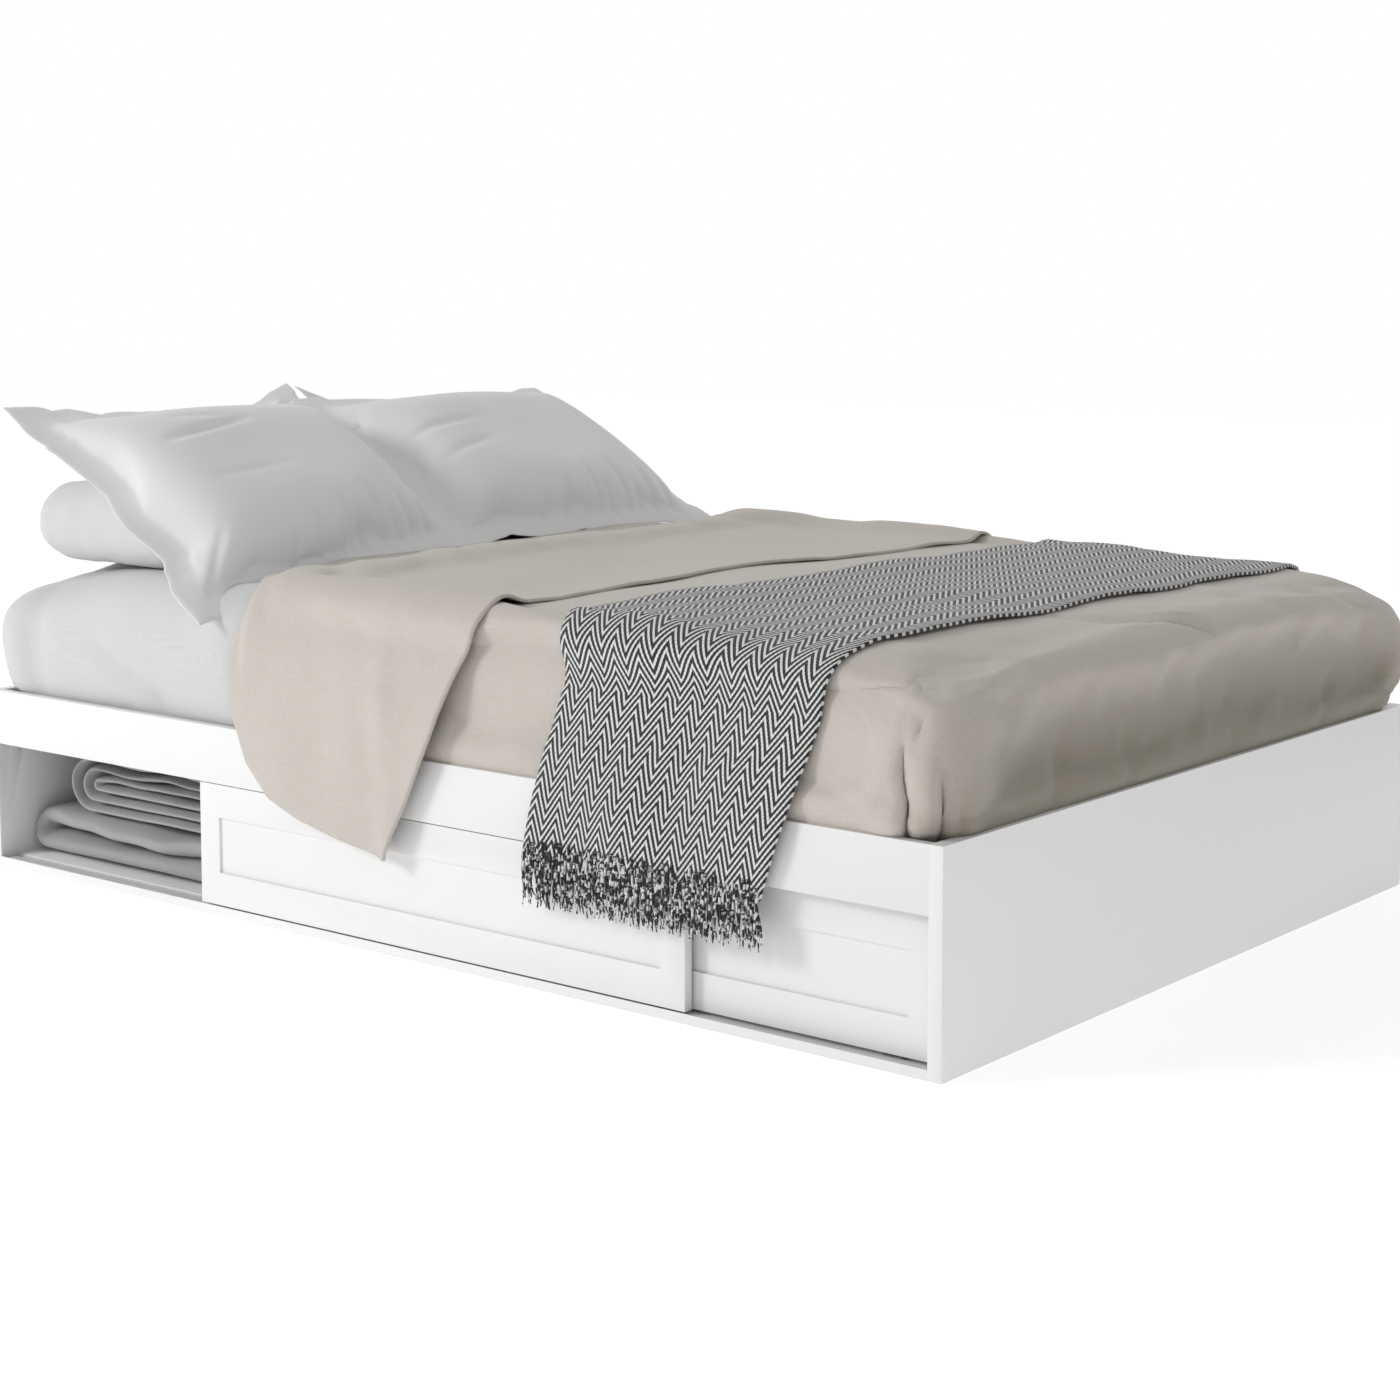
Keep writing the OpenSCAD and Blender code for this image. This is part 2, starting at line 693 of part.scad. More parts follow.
// A block whose top edges are rounded along both sides and across the foot end
module rounded_top(x, foot_y, head_y, low, top, r) {
    intersection() {
        translate([0, head_y, 0]) rotate([90, 0, 0]) linear_extrude(height = head_y - foot_y)
            polygon(concat([[-x, low]], arc(-x + r, top - r, r, 180, 90, 8),
                           arc(x - r, top - r, r, 90, 0, 8), [[x, low]]));
        translate([-x, 0, 0]) rotate([90, 0, 90]) linear_extrude(height = 2 * x)
            polygon(concat([[foot_y, low]], arc(foot_y + r, top - r, r, 180, 90, 8),
                           [[head_y, top], [head_y, low]]));
    }
}

module duvet() {
    skirt_t = header_out - cloth_clear - (mattress_x + cloth_clear);
    color([0.78, 0.75, 0.7]) difference() {
        rounded_top(header_out - cloth_clear, -half_l + cloth_clear, duvet_head_y, duvet_skirt_z, duvet_top,
                    mattress_r + skirt_t);
        rounded_top(mattress_x + cloth_clear, -mattress_y - cloth_clear, half_l, slat_top - mattress_t / 2,
                    mattress_top + cloth_clear, mattress_r);
    }
}

// Side outline of the turned-down band: it hangs in a point on each side
module turndown_side_outline() {
    y1 = duvet_head_y;
    y0 = y1 - turndown_w;
    mid_z = duvet_top - drape_r;
    polygon(concat([[y0, duvet_top + drape_r]],
                   [for (p = TURNDOWN_EDGE)
                       [y0 + p[0] * turndown_w, turndown_low_z + p[1] * (mid_z - turndown_low_z)]],
                   [[y1, duvet_top + drape_r]]));
}

module duvet_turndown() {
    top = duvet_top + cloth_clear + turndown_t;
    color([0.8, 0.77, 0.72]) intersection() {
        over_cloth(hang_x, top, turndown_low_z - hang_t, hang_t, drape_r, duvet_head_y - turndown_w,
                   duvet_head_y);
        translate([-hang_x - PAST, 0, 0]) rotate([90, 0, 90]) linear_extrude(height = 2 * (hang_x + PAST))
            turndown_side_outline();
    }
}

module throw_blanket() {
    y0 = -half_l + throw_from_foot;
    y1 = y0 + throw_w;
    top = duvet_top + cloth_clear + turndown_t;
    low0 = y0 + (throw_w - throw_low_w) * THROW_SWING;
    color([0.45, 0.45, 0.45]) intersection() {
        over_cloth(hang_x, top, throw_low_z, hang_t, drape_r, y0, y1);
        translate([-hang_x - PAST, 0, 0]) rotate([90, 0, 90]) linear_extrude(height = 2 * (hang_x + PAST))
            polygon([[y0, top + PAST], [y0, duvet_top - drape_r], [low0, throw_low_z - PAST],
                     [low0 + throw_low_w, throw_low_z - PAST], [y1, duvet_top - drape_r], [y1, top + PAST]]);
    }
}

// A pillow that lies in the XY plane: thin along its hem, thick in the middle
module pillow(w, h, up, under) {
    hull() {
        for (x = [-w / 2 + HEM_R, w / 2 - HEM_R], y = [-h / 2 + HEM_R, h / 2 - HEM_R])
            translate([x, y, 0]) sphere(r = HEM_R, $fn = SOFT_FN);
        for (crown = PILLOW_CROWN)
            scale([w * crown[0], h * crown[1], 1]) translate([0, 0, -under * crown[2]])
                cylinder(h = (up + under) * crown[2], d = 1, $fn = SOFT_FN);
    }
}

module flat_pillow(side) {
    z = mattress_top + pillow_rest_clear + flat_pillow_t / 2;
    color([0.87, 0.87, 0.87]) translate([side * pillow_x, half_l - pillow_head_clear - flat_pillow_h / 2, z])
        pillow(flat_pillow_w, flat_pillow_h, flat_pillow_t / 2, flat_pillow_t / 2);
}

module back_pillow(side) {
    edge_y = half_l - pillow_head_clear - back_pillow_h * cos(back_lean);
    edge_z = mattress_top + flat_pillow_t + back_pillow_lift;
    color([0.85, 0.85, 0.85]) translate([side * pillow_x, edge_y, edge_z]) rotate([back_lean, 0, 0])
        translate([0, back_pillow_h / 2, 0])
            pillow(back_pillow_w, back_pillow_h, back_pillow_t / 2, back_pillow_t / 2);
}

module front_pillow(side) {
    foot_edge_y = duvet_head_y + front_pillow_gap;
    foot_edge_z = mattress_top + front_pillow_lift;
    color([0.86, 0.86, 0.86]) translate([side * pillow_x, foot_edge_y, foot_edge_z])
        rotate([front_lean, 0, 0]) translate([0, front_pillow_h / 2, 0])
        pillow(pillow_w, front_pillow_h, front_pillow_up, 10);
}

// Folded blankets in the open compartment at the head, left: a rounded bar across the bed's side
blanket_x = divider_front - blanket_setback;
module folded_blanket(y1, length, z0, z1, inset) {
    y0 = y1 - length;
    r = min(blanket_r, (z1 - z0) * BLANKET_ROUND_SHARE);
    translate([-blanket_x + inset, 0, 0]) rotate([90, 0, 90]) linear_extrude(height = blanket_w - inset)
        polygon(concat(arc(y0 + r, z0 + r, r, 270, 180, 8), arc(y0 + r, z1 - r, r, 180, 90, 8),
                       arc(y1 - r, z1 - r, r, 90, 0, 8), arc(y1 - r, z0 + r, r, 0, -90, 8)));
}

module lower_folded_blanket() {
    color([0.86, 0.86, 0.86])
        folded_blanket(half_l - lower_blanket_gap, lower_blanket_l, floor_z + cloth_clear,
                       floor_z + lower_blanket_h, 0);
}

module upper_folded_blanket() {
    color([0.86, 0.86, 0.86])
        folded_blanket(half_l - upper_blanket_gap, upper_blanket_l, floor_z + lower_blanket_h + cloth_clear,
                       opening_top - blanket_head_gap, upper_blanket_inset);
}

// ---------- assembly ----------

end_panel(HEAD);  // head_panel
end_panel(FOOT);  // foot_panel
side_rail(LEFT);  // left_side_rail
side_rail(RIGHT);  // right_side_rail
header_board(LEFT);  // left_header_board
header_board(RIGHT);  // right_header_board
base_board(LEFT);  // left_base_board
base_board(RIGHT);  // right_base_board
centre_spine();
cross_divider(LEFT);  // left_cross_divider
cross_divider(RIGHT);  // right_cross_divider
lower_track(LEFT);  // left_lower_track
lower_track(RIGHT);  // right_lower_track
upper_track(LEFT);  // left_upper_track
upper_track(RIGHT);  // right_upper_track
slats();
slat_screws();
corner_brackets();
bracket_screws();
cam_locks();
cam_bolts();
wood_dowels();
floor_glides();

door_slab(LEFT, OUTER);  // left_outer_door
door_carriages(LEFT, OUTER);  // left_outer_carriages
door_axles(LEFT, OUTER);  // left_outer_axles
door_guides(LEFT, OUTER);  // left_outer_guides
door_wheel(LEFT, OUTER, FOOT);  // left_outer_foot_wheel
door_wheel(LEFT, OUTER, HEAD);  // left_outer_head_wheel
door_slab(LEFT, INNER);  // left_inner_door
door_carriages(LEFT, INNER);  // left_inner_carriages
door_axles(LEFT, INNER);  // left_inner_axles
door_guides(LEFT, INNER);  // left_inner_guides
door_wheel(LEFT, INNER, FOOT);  // left_inner_foot_wheel
door_wheel(LEFT, INNER, HEAD);  // left_inner_head_wheel
door_slab(RIGHT, OUTER);  // right_outer_door
door_carriages(RIGHT, OUTER);  // right_outer_carriages
door_axles(RIGHT, OUTER);  // right_outer_axles
door_guides(RIGHT, OUTER);  // right_outer_guides
door_wheel(RIGHT, OUTER, FOOT);  // right_outer_foot_wheel
door_wheel(RIGHT, OUTER, HEAD);  // right_outer_head_wheel
door_slab(RIGHT, INNER);  // right_inner_door
door_carriages(RIGHT, INNER);  // right_inner_carriages
door_axles(RIGHT, INNER);  // right_inner_axles
door_guides(RIGHT, INNER);  // right_inner_guides
door_wheel(RIGHT, INNER, FOOT);  // right_inner_foot_wheel
door_wheel(RIGHT, INNER, HEAD);  // right_inner_head_wheel

mattress();
duvet();
duvet_turndown();
throw_blanket();
flat_pillow(LEFT);  // left_flat_pillow
flat_pillow(RIGHT);  // right_flat_pillow
back_pillow(LEFT);  // left_back_pillow
back_pillow(RIGHT);  // right_back_pillow
front_pillow(LEFT);  // left_front_pillow
front_pillow(RIGHT);  // right_front_pillow
lower_folded_blanket();
upper_folded_blanket();
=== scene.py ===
# %% [markdown]
# # A platform bed with storage behind sliding doors
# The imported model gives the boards, doors, tracks and fittings at their real places. This file
# keeps them where they are, eases the boards' edges, and makes the soft goods over them: a
# mattress in a fitted sheet, a tucked-in duvet with its turned-down band, a herringbone throw
# with a fringe, six pillows and two folded blankets. Lengths are in metres.

# %% Load the frame
import json
import math
import bmesh
import bpy
import numpy as np
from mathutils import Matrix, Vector
from mathutils.bvhtree import BVHTree


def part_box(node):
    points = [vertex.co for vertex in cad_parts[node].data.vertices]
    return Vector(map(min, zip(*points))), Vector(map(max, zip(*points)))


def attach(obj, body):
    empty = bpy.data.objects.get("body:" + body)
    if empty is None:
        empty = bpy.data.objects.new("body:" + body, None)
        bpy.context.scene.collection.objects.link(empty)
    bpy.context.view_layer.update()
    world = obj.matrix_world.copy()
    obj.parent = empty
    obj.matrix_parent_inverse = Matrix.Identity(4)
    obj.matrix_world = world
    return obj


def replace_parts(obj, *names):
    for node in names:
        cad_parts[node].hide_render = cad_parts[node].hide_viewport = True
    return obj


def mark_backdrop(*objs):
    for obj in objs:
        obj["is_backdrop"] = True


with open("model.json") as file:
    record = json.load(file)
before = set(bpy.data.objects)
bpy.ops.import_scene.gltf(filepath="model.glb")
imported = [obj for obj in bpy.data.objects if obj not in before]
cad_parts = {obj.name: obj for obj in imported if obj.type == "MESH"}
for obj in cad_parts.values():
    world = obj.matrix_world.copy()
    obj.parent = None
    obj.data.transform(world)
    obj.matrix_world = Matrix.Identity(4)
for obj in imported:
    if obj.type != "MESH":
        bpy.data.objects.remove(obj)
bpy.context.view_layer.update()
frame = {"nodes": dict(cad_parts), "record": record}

# %% [markdown]
# ## The places that everything else is worked out from
# Each soft piece lies on, hangs over or is tucked into something that the frame knows: the side
# rails' outer faces, the mattress's top, the inner faces of the head and foot panels. Reading
# those once keeps every later number a small distance from a real edge.

# %% Places
def corners(node):
    """A node's lowest and highest corners, as two arrays."""
    low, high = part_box(node)
    return np.array(low), np.array(high)


SIDE = corners("right_side_rail")[1][0]
RAIL_INNER = corners("right_side_rail")[0][0]
RAIL_TOP = corners("right_side_rail")[1][2]
HEAD = corners("head_panel")[0][1]
FOOT = corners("foot_panel")[1][1]
BED_TOP = corners("mattress")[1][2]
DUVET_TOP = corners("duvet")[1][2]
DUVET_HEAD = corners("duvet")[1][1]
print("side", round(SIDE, 4), "mattress top", round(BED_TOP, 4), "duvet top", round(DUVET_TOP, 4))

# %% [markdown]
# ## The camera
# It stands to the left of the foot end at about the height of a seated person's eyes, with a
# long lens, so the two long edges of the bed run together only slowly. The small upward shift
# keeps the boards' uprights upright.

# %% Camera
EYE = (-3.49647, -2.85968, 1.06335)
TURN, DIP = 0.89149, 0.09958
LENS, SENSOR, SHIFT = 66.51, 36.0, -0.12
camera = bpy.data.objects.new("camera", bpy.data.cameras.new("camera"))
camera.data.lens = LENS
camera.data.sensor_width = SENSOR
camera.data.shift_y = SHIFT
camera.location = EYE
camera.rotation_euler = (math.pi / 2 - DIP, 0.0, -TURN)
bpy.context.scene.collection.objects.link(camera)
bpy.context.scene.camera = camera
print("camera looks", round(math.degrees(TURN), 1), "degrees from the bed's length")

# %% [markdown]
# ## Light
# A soft lamp stands on the left, turned a little towards the head, so the long side is bright,
# the foot panel is in half shade, and hanging cloth throws a short soft shadow towards the foot.
# The sky is dim except in the part behind the bed, which is bright like a lit studio wall.

# %% Lights and sky
KEY_AZIMUTH, KEY_HEIGHT, KEY_AWAY = math.radians(32), math.radians(27), 6.5
KEY_SIZE, KEY_POWER, KEY_AIM = 1.5, 138, (0.0, 0.0, 0.3)
SKY_DIM, SKY_BRIGHT = 0.58, 1.0


def soft_lamp(name, place, target, size, power):
    """A square area lamp at a place, turned to a target."""
    lamp = bpy.data.objects.new(name, bpy.data.lights.new(name, "AREA"))
    lamp.data.shape = "SQUARE"
    lamp.data.size = size
    lamp.data.energy = power
    lamp.location = place
    lamp.rotation_euler = (Vector(target) - Vector(place)).to_track_quat("-Z", "Y").to_euler()
    bpy.context.scene.collection.objects.link(lamp)
    return lamp


def studio_sky(dim, bright):
    """Sky strength: dim, rising to bright where its direction is near the camera's view."""
    world = bpy.data.worlds.new("sky")
    world.use_nodes = True
    tree = world.node_tree
    where = tree.nodes.new("ShaderNodeTexCoord")
    facing = tree.nodes.new("ShaderNodeVectorMath")
    facing.operation = "DOT_PRODUCT"
    facing.inputs[1].default_value = (math.sin(TURN), math.cos(TURN), 0.0)
    rise = tree.nodes.new("ShaderNodeMapRange")
    rise.interpolation_type = "SMOOTHSTEP"
    for i, value in enumerate((0.45, 0.85, dim, bright)):
        rise.inputs[i + 1].default_value = value
    tree.links.new(where.outputs["Generated"], facing.inputs[0])
    tree.links.new(facing.outputs["Value"], rise.inputs[0])
    tree.links.new(rise.outputs[0], tree.nodes["Background"].inputs["Strength"])
    tree.nodes["Background"].inputs["Color"].default_value = (1.0, 1.0, 1.0, 1.0)
    return world


key_place = (-KEY_AWAY * math.cos(KEY_AZIMUTH) * math.cos(KEY_HEIGHT),
             KEY_AWAY * math.sin(KEY_AZIMUTH) * math.cos(KEY_HEIGHT),
             KEY_AWAY * math.sin(KEY_HEIGHT))
soft_lamp("key", key_place, KEY_AIM, KEY_SIZE, KEY_POWER)
bpy.context.scene.world = studio_sky(SKY_DIM, SKY_BRIGHT)
bpy.context.scene.view_settings.view_transform = "Standard"
print("lamp and sky ready")

# %% [markdown]
# ## Writing a finish as a formula
# A shader is a small sum: a weave is a wave, a mask is a comparison, wear is noise. Wrapping a
# socket in a class whose operators add Math nodes lets each finish be written as that sum. Any
# other node comes from one method, which sets the node's own settings first and then its values.

# %% Shader helpers
class Wire:
    """A socket in a finish's node tree; arithmetic on it adds Math nodes."""

    def __init__(self, finish, socket):
        self.finish = finish
        self.socket = socket

    def calc(self, operation, *values):
        """One Math node on the values."""
        return self.finish.node("ShaderNodeMath", {"operation": operation}, *values)

    def __add__(self, other):
        return self.calc("ADD", self, other)

    def __radd__(self, other):
        return self.calc("ADD", other, self)

    def __sub__(self, other):
        return self.calc("SUBTRACT", self, other)

    def __rsub__(self, other):
        return self.calc("SUBTRACT", other, self)

    def __mul__(self, other):
        return self.calc("MULTIPLY", self, other)

    def __rmul__(self, other):
        return self.calc("MULTIPLY", other, self)

    def sine(self):
        """The sine of the value, in radians."""
        return self.calc("SINE", self)

    def above(self, level, softness):
        """0 below the level and 1 above it, with a soft step."""
        return self.finish.node("ShaderNodeMapRange", {"interpolation_type": "SMOOTHSTEP"},
                                self, level - softness, level + softness, 0.0, 1.0)

    def zigzag(self, length):
        """Runs from 0 up to the length and back again."""
        return self.calc("PINGPONG", self, length)


class Finish:
    """A material with one Principled shader, built by formulas."""

    def __init__(self, name, **constants):
        self.material = bpy.data.materials.new(name)
        self.material.use_nodes = True
        self.tree = self.material.node_tree
        self.shader = self.tree.nodes["Principled BSDF"]
        for label, value in constants.items():
            self.shader.inputs[label.replace("_", " ")].default_value = value

    def node(self, kind, settings=None, *values, out=0, **named):
        """Adds a node: its settings first, then its sockets by order or by name."""
        made = self.tree.nodes.new(kind)
        for label, value in (settings or {}).items():
            setattr(made, label, value)
        for key, value in [*enumerate(values), *named.items()]:
            self.feed(made.inputs[key], value)
        return Wire(self, made.outputs[out])

    def feed(self, socket, value):
        """Links a wire to a socket, or sets its value."""
        if isinstance(value, Wire):
            self.tree.links.new(value.socket, socket)
        elif socket.type == "RGBA" and len(value) == 3:
            socket.default_value = (*value, 1.0)
        else:
            socket.default_value = value

    def place(self, kind="Object"):
        """The piece's own coordinates: Object, in metres, or UV."""
        return self.node("ShaderNodeTexCoord", None, out=kind)

    def axes(self, vector):
        """The three parts of a vector, as wires."""
        parts = self.node("ShaderNodeSeparateXYZ", None, vector)
        return [Wire(self, parts.socket.node.outputs[i]) for i in range(3)]

    def noise(self, vector, scale, detail=3.0, roughness=0.55):
        """Cloudy values from 0 to 1; a larger scale makes them finer."""
        return self.node("ShaderNodeTexNoise", None, Vector=vector, Scale=scale, Detail=detail,
                         Roughness=roughness)

    def stretched(self, vector, x, y, z):
        """Coordinates times a factor along each axis; a small factor makes long streaks."""
        return self.node("ShaderNodeMapping", None, vector, (0, 0, 0), (0, 0, 0), (x, y, z))

    def mix(self, factor, one, other):
        """A colour between two."""
        made = self.tree.nodes.new("ShaderNodeMix")
        made.data_type = "RGBA"
        for index, value in ((0, factor), (6, one), (7, other)):
            self.feed(made.inputs[index], value)
        return Wire(self, made.outputs[2])

    def colour(self, value):
        """Sets what the shader's colour is."""
        self.feed(self.shader.inputs["Base Color"], value)

    def rough(self, value):
        """Sets how rough the shader is."""
        self.feed(self.shader.inputs["Roughness"], value)

    def bump(self, height, distance):
        """Raises the surface by a height from 0 to 1, of the given depth in metres."""
        made = self.node("ShaderNodeBump", None, Strength=1.0, Distance=distance, Height=height)
        self.feed(self.shader.inputs["Normal"], made)


print("shader helpers ready")

# %% [markdown]
# ## Finishes of the frame
# Lacquered fibreboard is almost featureless: a faint orange-peel ripple, a slightly uneven
# sheen and the least bit of dust where hands don't wipe. The slats show pine grain, the
# fittings are zinc, and the tracks, wheels and carriages are moulded or extruded plastic.

# %% Lacquer and melamine
def board_finish(name, tint, sheen, peel, coat):
    """White board: tint by slow noise, roughness by finer noise, orange-peel bump."""
    f = Finish(name, Specular_IOR_Level=0.4, Coat_Roughness=0.25)
    at = f.place()
    slow = f.noise(at, 2.2, 2.0)
    fine = f.noise(at, 38.0, 3.0)
    peel_noise = f.noise(at, 900.0, 1.0)
    f.colour(f.mix(slow, tint, tuple(0.975 * c for c in tint)))
    f.rough(fine * 0.10 + (sheen - 0.05))
    f.bump(peel_noise, peel)
    f.shader.inputs["Coat Weight"].default_value = coat
    return f.material


LACQUER = board_finish("white_lacquer", (0.80, 0.80, 0.80), 0.42, 0.00012, 0.15)
# Painted shade: the melamine inside the compartments is a mid grey, darker than the white lacquer,
# standing in for the shade inside them.
MELAMINE_PAINTED_SHADE = board_finish("white_melamine", (0.42, 0.42, 0.42), 0.55, 0.00020, 0.0)
print("board finishes:", LACQUER.name, MELAMINE_PAINTED_SHADE.name)

# %% Pine, metal and plastic
def pine_finish():
    """Pine: growth rings as sine waves across the slat, bent by noise that is stretched along it."""
    f = Finish("pine_slats")
    at = f.place()
    y, z = f.axes(at)[1:]
    sway = f.noise(f.stretched(at, 1.5, 14.0, 14.0), 1.0, 4.0)
    rings = ((y * 420.0) + (z * 260.0) + sway * 34.0).sine() * 0.5 + 0.5
    pores = f.noise(f.stretched(at, 30.0, 900.0, 900.0), 1.0, 2.0)
    f.colour(f.mix(rings * 0.55 + pores * 0.2, (0.72, 0.53, 0.32), (0.50, 0.32, 0.16)))
    f.rough(rings * 0.12 + 0.55)
    f.bump(rings * 0.4 + pores * 0.6, 0.0003)
    return f.material


def metal_finish(name, colour, roughness, grain):
    """Plated metal: brushed by noise stretched along one way, a little blotchy."""
    f = Finish(name, Metallic=1.0)
    at = f.place()
    brushed = f.noise(f.stretched(at, 900.0, 900.0, 40.0), 1.0, 2.0)
    blotch = f.noise(at, 60.0)
    f.colour(f.mix(blotch, colour, tuple(0.8 * c for c in colour)))
    f.rough(brushed * grain + roughness)
    f.bump(brushed, 0.00004)
    return f.material


def plastic_finish(name, colour, roughness, texture):
    """Moulded plastic: fine spark-eroded texture and slightly uneven sheen."""
    f = Finish(name, Specular_IOR_Level=0.45)
    at = f.place()
    grain = f.noise(at, texture, 2.0)
    shade = f.noise(at, 14.0)
    f.colour(f.mix(shade, colour, tuple(0.92 * c for c in colour)))
    f.rough(grain * 0.15 + roughness)
    f.bump(grain, 0.00006)
    return f.material


FRAME_FINISHES = {
    "white_lacquer": LACQUER,
    "white_melamine": MELAMINE_PAINTED_SHADE,
    "pine_slats": pine_finish(),
    "zinc_steel": metal_finish("zinc_steel", (0.62, 0.63, 0.65), 0.28, 0.2),
    "zinc_casting": metal_finish("zinc_casting", (0.52, 0.52, 0.5), 0.42, 0.25),
    "track_plastic": plastic_finish("track_plastic", (0.70, 0.70, 0.70), 0.38, 700.0),
    "carriage_plastic": plastic_finish("carriage_plastic", (0.07, 0.07, 0.075), 0.4, 900.0),
    "wheel_nylon": plastic_finish("wheel_nylon", (0.72, 0.72, 0.68), 0.35, 900.0),
    "felt_glide": plastic_finish("felt_glide", (0.25, 0.25, 0.25), 0.8, 1500.0),
    "beech_dowel": pine_finish(),
}
print("frame finishes:", len(FRAME_FINISHES))

# %% Finishes onto the frame's nodes
slot_of = {part["node"]: part["material_slot"] for part in frame["record"]["subparts"]}
for name, node in frame["nodes"].items():
    finish = FRAME_FINISHES.get(slot_of[name])
    if finish:
        node.data.materials.clear()
        node.data.materials.append(finish)
print("nodes with a frame finish:", sum(slot_of[n] in FRAME_FINISHES for n in frame["nodes"]))

# %% [markdown]
# ## Boards with eased edges
# A real board's edges are never razor sharp: the lacquer needs a radius of about a millimetre,
# and that radius is what catches the light along each edge. Each visible board is copied from
# its exact solid, its triangles are merged back into flat faces, and a Bevel modifier rounds
# every sharp edge, so sizes, grooves and holes stay those of the frame.

# %% Eased copies
BODY_OF = {n: body for body, nodes in frame["record"]["behaviour"]["bodies"].items() for n in nodes}


def eased(node, width=0.0011):
    """A copy of a board with its flat faces merged and its sharp edges rounded."""
    work = bmesh.new()
    work.from_mesh(frame["nodes"][node].data)
    bmesh.ops.remove_doubles(work, verts=work.verts, dist=2e-6)
    bmesh.ops.dissolve_limit(work, angle_limit=math.radians(0.4), verts=work.verts, edges=work.edges)
    bmesh.ops.recalc_face_normals(work, faces=work.faces)
    mesh = bpy.data.meshes.new(node + "_eased")
    work.to_mesh(mesh)
    work.free()
    board = bpy.data.objects.new(node + "_eased", mesh)
    bpy.context.scene.collection.objects.link(board)
    mesh.materials.append(FRAME_FINISHES[slot_of[node]])
    mesh.shade_smooth()
    bevel = board.modifiers.new("eased edges", "BEVEL")
    bevel.width = width
    bevel.segments = 2
    bevel.limit_method = "ANGLE"
    bevel.angle_limit = math.radians(35)
    bevel.harden_normals = True
    bevel.use_clamp_overlap = True
    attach(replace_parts(board, node), BODY_OF[node])
    return board


EASED = ["head_panel", "foot_panel", "left_side_rail", "right_side_rail", "left_base_board",
         "right_base_board", "left_outer_door", "left_inner_door", "right_outer_door",
         "right_inner_door", "left_cross_divider", "right_cross_divider", "centre_spine"]
for node in EASED:
    eased(node)
print("eased boards:", len(EASED))

# %% [markdown]
# ## Surfaces from arrays
# Every soft piece below is a grid of points worked out at once with numpy. One helper turns a
# grid into a mesh with a UV map in metres, and two small fields, smooth waves and creases, give
# cloth its unevenness.

# %% Grid surfaces
def to_mesh(name, points, faces, uv=None):
    """An object from point and face arrays; uv holds one pair per point."""
    mesh = bpy.data.meshes.new(name)
    mesh.from_pydata(np.asarray(points, float).reshape(-1, 3).tolist(), [], np.asarray(faces).tolist())
    if uv is not None:
        layer = mesh.uv_layers.new(name="cloth")
        loops = np.empty(len(mesh.loops), np.int32)
        mesh.loops.foreach_get("vertex_index", loops)
        layer.data.foreach_set("uv", np.asarray(uv, np.float32).reshape(-1, 2)[loops].ravel())
    mesh.shade_smooth()
    made = bpy.data.objects.new(name, mesh)
    bpy.context.scene.collection.objects.link(made)
    return made


def grid_faces(rows, columns, wrap_columns=False, start=0):
    """Quads between neighbouring points of a grid, row by row."""
    last = columns if wrap_columns else columns - 1
    r, c = np.meshgrid(np.arange(rows - 1), np.arange(last), indexing="ij")
    here = r * columns + c
    right = r * columns + (c + 1) % columns
    return np.stack([here, right, right + columns, here + columns], -1).reshape(-1, 4) + start


def waves(points, seed, size, count=28):
    """Smooth noise, about -1 to 1: a sum of sine waves in random directions of about one size."""
    draw = np.random.default_rng(seed)
    ways = draw.normal(size=(count, 3))
    ways *= (2 * np.pi / size * draw.uniform(0.6, 1.5, count) / np.linalg.norm(ways, axis=1))[:, None]
    return np.sin(points @ ways.T + draw.uniform(0, 2 * np.pi, count)).sum(-1) / math.sqrt(count)


def crease(points, start, end, width, depth):
    """Depth of a crease: a bell across the line from start to end that fades at both ends."""
    start, end = np.array(start), np.array(end)
    way = end - start
    share = ((points - start) @ way) / (way @ way)
    gap = np.linalg.norm(points - start - np.clip(share, 0, 1)[..., None] * way, axis=-1)
    fade = np.sin(np.pi * np.clip(share, 0.02, 0.98)) ** 0.6
    return depth * fade * np.exp(-((gap / width) ** 2))


def smooth(x, low, high):
    """0 at the low value, 1 at the high one, with a smooth rise between."""
    t = np.clip((x - low) / (high - low), 0, 1)
    return t * t * (3 - 2 * t)


def add(piece, kind, **settings):
    """A modifier on a piece, with its settings."""
    made = piece.modifiers.new(kind.lower(), kind)
    for label, value in settings.items():
        setattr(made, label, value)
    return made


def finish_piece(piece, material, slot, body, *nodes):
    """Gives a piece its material, its body and the nodes it stands for; the slot is not used."""
    piece.data.materials.clear()
    piece.data.materials.append(material)
    if nodes:
        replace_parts(piece, *nodes)
    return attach(piece, body)


print("surface helpers ready")

# %% [markdown]
# ## Finishes of the cloths
# A cotton sheet is a plain weave too fine to see one thread at a time: it shows as a faint
# crossed texture. Washed linen has thick and thin threads, so its colour varies in short dashes
# both ways. Both read the surface's own UV map in metres where it has one, so threads follow
# the cloth.

# %% Cotton and linen
def cotton_finish(name, colour, coords="Object"):
    """Plain cotton: crossed threads, slow tone changes and a soft sheen."""
    f = Finish(name, Specular_IOR_Level=0.2, Sheen_Weight=0.25, Sheen_Roughness=0.6)
    at = f.place(coords)
    x, y, z = f.axes(at)
    threads = (x * 3600.0).sine() * (y * 3600.0 + z * 3600.0).sine()
    slow = f.noise(at, 3.0, 2.0)
    nap = f.noise(at, 260.0, 3.0)
    f.colour(f.mix(slow * 0.6 + nap * 0.3, colour, tuple(0.93 * c for c in colour)))
    f.rough(nap * 0.1 + 0.78)
    f.bump(threads * 0.25 + nap * 0.75, 0.00035)
    return f.material


